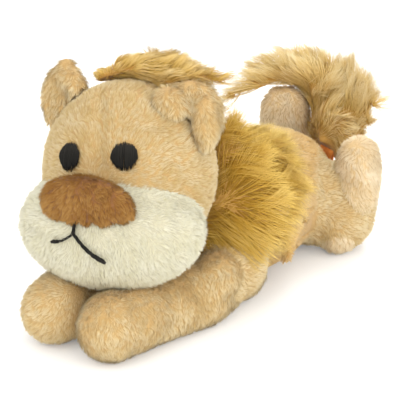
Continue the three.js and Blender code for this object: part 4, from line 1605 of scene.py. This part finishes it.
@dataclass
class Inside:
    """What the cloth hides: filling, magnet pouches and magnets."""

    def dress_nodes(self) -> None:
        """Give every CAD node that stays its own finish."""
        finishes = (("_filling", WHITE_FIBRE), ("_magnet_pouch", COTTON), ("_magnet", NICKEL))
        for name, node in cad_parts.items():
            for ending, finish in finishes:
                if name.endswith(ending):
                    node.data.materials.clear()
                    node.data.materials.append(finish.material())
                    break


# The studio ------------------------------------


def seen_rays(tree: NodeTree) -> NodeSocket:
    """Tell rays that show a surface from rays that only light it.

    Args:
        tree: the node tree.

    Returns:
        A socket that gives 1 to the rays that show it and 0 to the others.
    """
    rays = add_node(tree, "LightPath")
    total = rays.outputs["Is Camera Ray"]
    for kind in ("Is Glossy Ray", "Is Transmission Ray"):
        total = add_node(tree, "Math", {"operation": "ADD", "use_clamp": True},
                         {0: total, 1: rays.outputs[kind]}).outputs[0]
    return total


@dataclass(frozen=True)
class Paper(Finish):
    """Matt, faintly grained paper, drawn white where nothing shades it."""

    dark: str
    light: str
    grains_per_metre: float = 900.0
    glow: float = 0.2

    def shading(self, tree: NodeTree) -> dict:
        """Colour the grain, and let the paper glow a little to the camera alone.

        Args:
            tree: the material's node tree.

        Returns:
            The shader's inputs.
        """
        place = add_node(tree, "TexCoord").outputs["Object"]
        grain = add_node(tree, "TexNoise", inputs={"Vector": place, "Scale": self.grains_per_metre})
        colour = fill_ramp(add_node(tree, "ValToRGB", inputs={0: grain.outputs["Fac"]}),
                           [(0.3, self.dark), (0.7, self.light)])
        glow = add_node(tree, "Math", {"operation": "MULTIPLY"}, {0: seen_rays(tree), 1: self.glow})
        return {"Base Color": colour, "Roughness": 0.9, "Emission Strength": glow.outputs[0],
                "Emission Color": (1, 1, 1, 1)}


# White seamless background paper, uncoated, which looks like an even white with no shine.
PAPER = Paper("white_background_paper", None, "#f2f2f0", "#f6f6f4")


@dataclass
class Studio:
    """A pale table, soft lamps and the camera."""

    target: Triple = (0.001, -0.018, 0.026)
    distance: float = 0.5
    azimuth: float = 35.0
    elevation: float = 22.0
    lens: float = 157.5
    lamps: tuple[tuple[str, Triple, float, float], ...] = (
        ("key_lamp", (-0.1, -0.8, 0.7), 0.7, 1.8), ("front_lamp", (0.45, -0.62, 0.4), 0.8, 3.2),
        ("fill_lamp", (0.85, 0.0, 0.45), 0.6, 1.8), ("rim_lamp", (-0.1, 0.6, 0.9), 0.5, 3.2))
    room_light: float = 0.96

    def build(self) -> None:
        """Set the table, the lamps, the world and the camera."""
        scene = bpy.context.scene
        scene.view_settings.view_transform = "Standard"
        bm = bmesh.new()
        bmesh.ops.create_grid(bm, x_segments=1, y_segments=1, size=3.0)
        table = from_bmesh("paper_table", bm)
        table.data.materials.append(PAPER.material())
        self.world()
        for lamp in self.lamps:
            self.hang(*lamp)
        a, e = math.radians(self.azimuth), math.radians(self.elevation)
        back = Vector((math.sin(a) * math.cos(e), -math.cos(a) * math.cos(e), math.sin(e)))
        camera = bpy.data.objects.new("camera", bpy.data.cameras.new("camera"))
        camera.data.lens = self.lens
        camera.data.sensor_width = 36.0
        camera.data.clip_start = 0.01
        camera.location = Vector(self.target) + back * self.distance
        camera.rotation_euler = back.to_track_quat("Z", "Y").to_euler()
        scene.collection.objects.link(camera)
        scene.camera = camera

    def world(self) -> None:
        """Light the room softly, and draw it white to the camera."""
        world = bpy.data.worlds.new("studio")
        bpy.context.scene.world = world
        world.use_nodes = True
        tree = world.node_tree
        strength = add_node(tree, "MapRange", inputs={0: seen_rays(tree), 3: self.room_light, 4: 1.0})
        connect(tree, tree.nodes["Background"], {"Color": (1, 1, 1, 1), "Strength": strength.outputs[0]})

    def hang(self, name: str, place: Triple, size: float, power: float) -> None:
        """Hang one square soft lamp that faces the lion.

        Args:
            name: the lamp's name.
            place: where it hangs, in metres.
            size: its side, in metres.
            power: its power, in watts.
        """
        light = bpy.data.lights.new(name, "AREA")
        light.size = size
        light.energy = power
        made = bpy.data.objects.new(name, light)
        made.location = place
        made.rotation_euler = (Vector(place) - Vector(self.target)).to_track_quat("Z", "Y").to_euler()
        bpy.context.scene.collection.objects.link(made)


def main() -> None:
    """Sew every cover, grow the fibre on it and set the studio."""
    logging.basicConfig(level=logging.INFO, format="%(name)s %(message)s")
    wardrobe = Wardrobe()
    torso, head, tail = Torso(wardrobe), Head(wardrobe), Tail(wardrobe)
    legs = [leg(wardrobe, side) for side in Side for leg in (Foreleg, HindLeg)]
    Studio().build()
    for part in (torso, head, *legs, tail):
        part.sew()
    joins = gussets(wardrobe)
    for join in joins:
        join.sew()
    for part in (torso, head, *legs, tail, *joins):
        part.grow()
    head.embroider()
    Ribbon().make()
    Inside().dress_nodes()


if __name__ == "__main__":
    main()
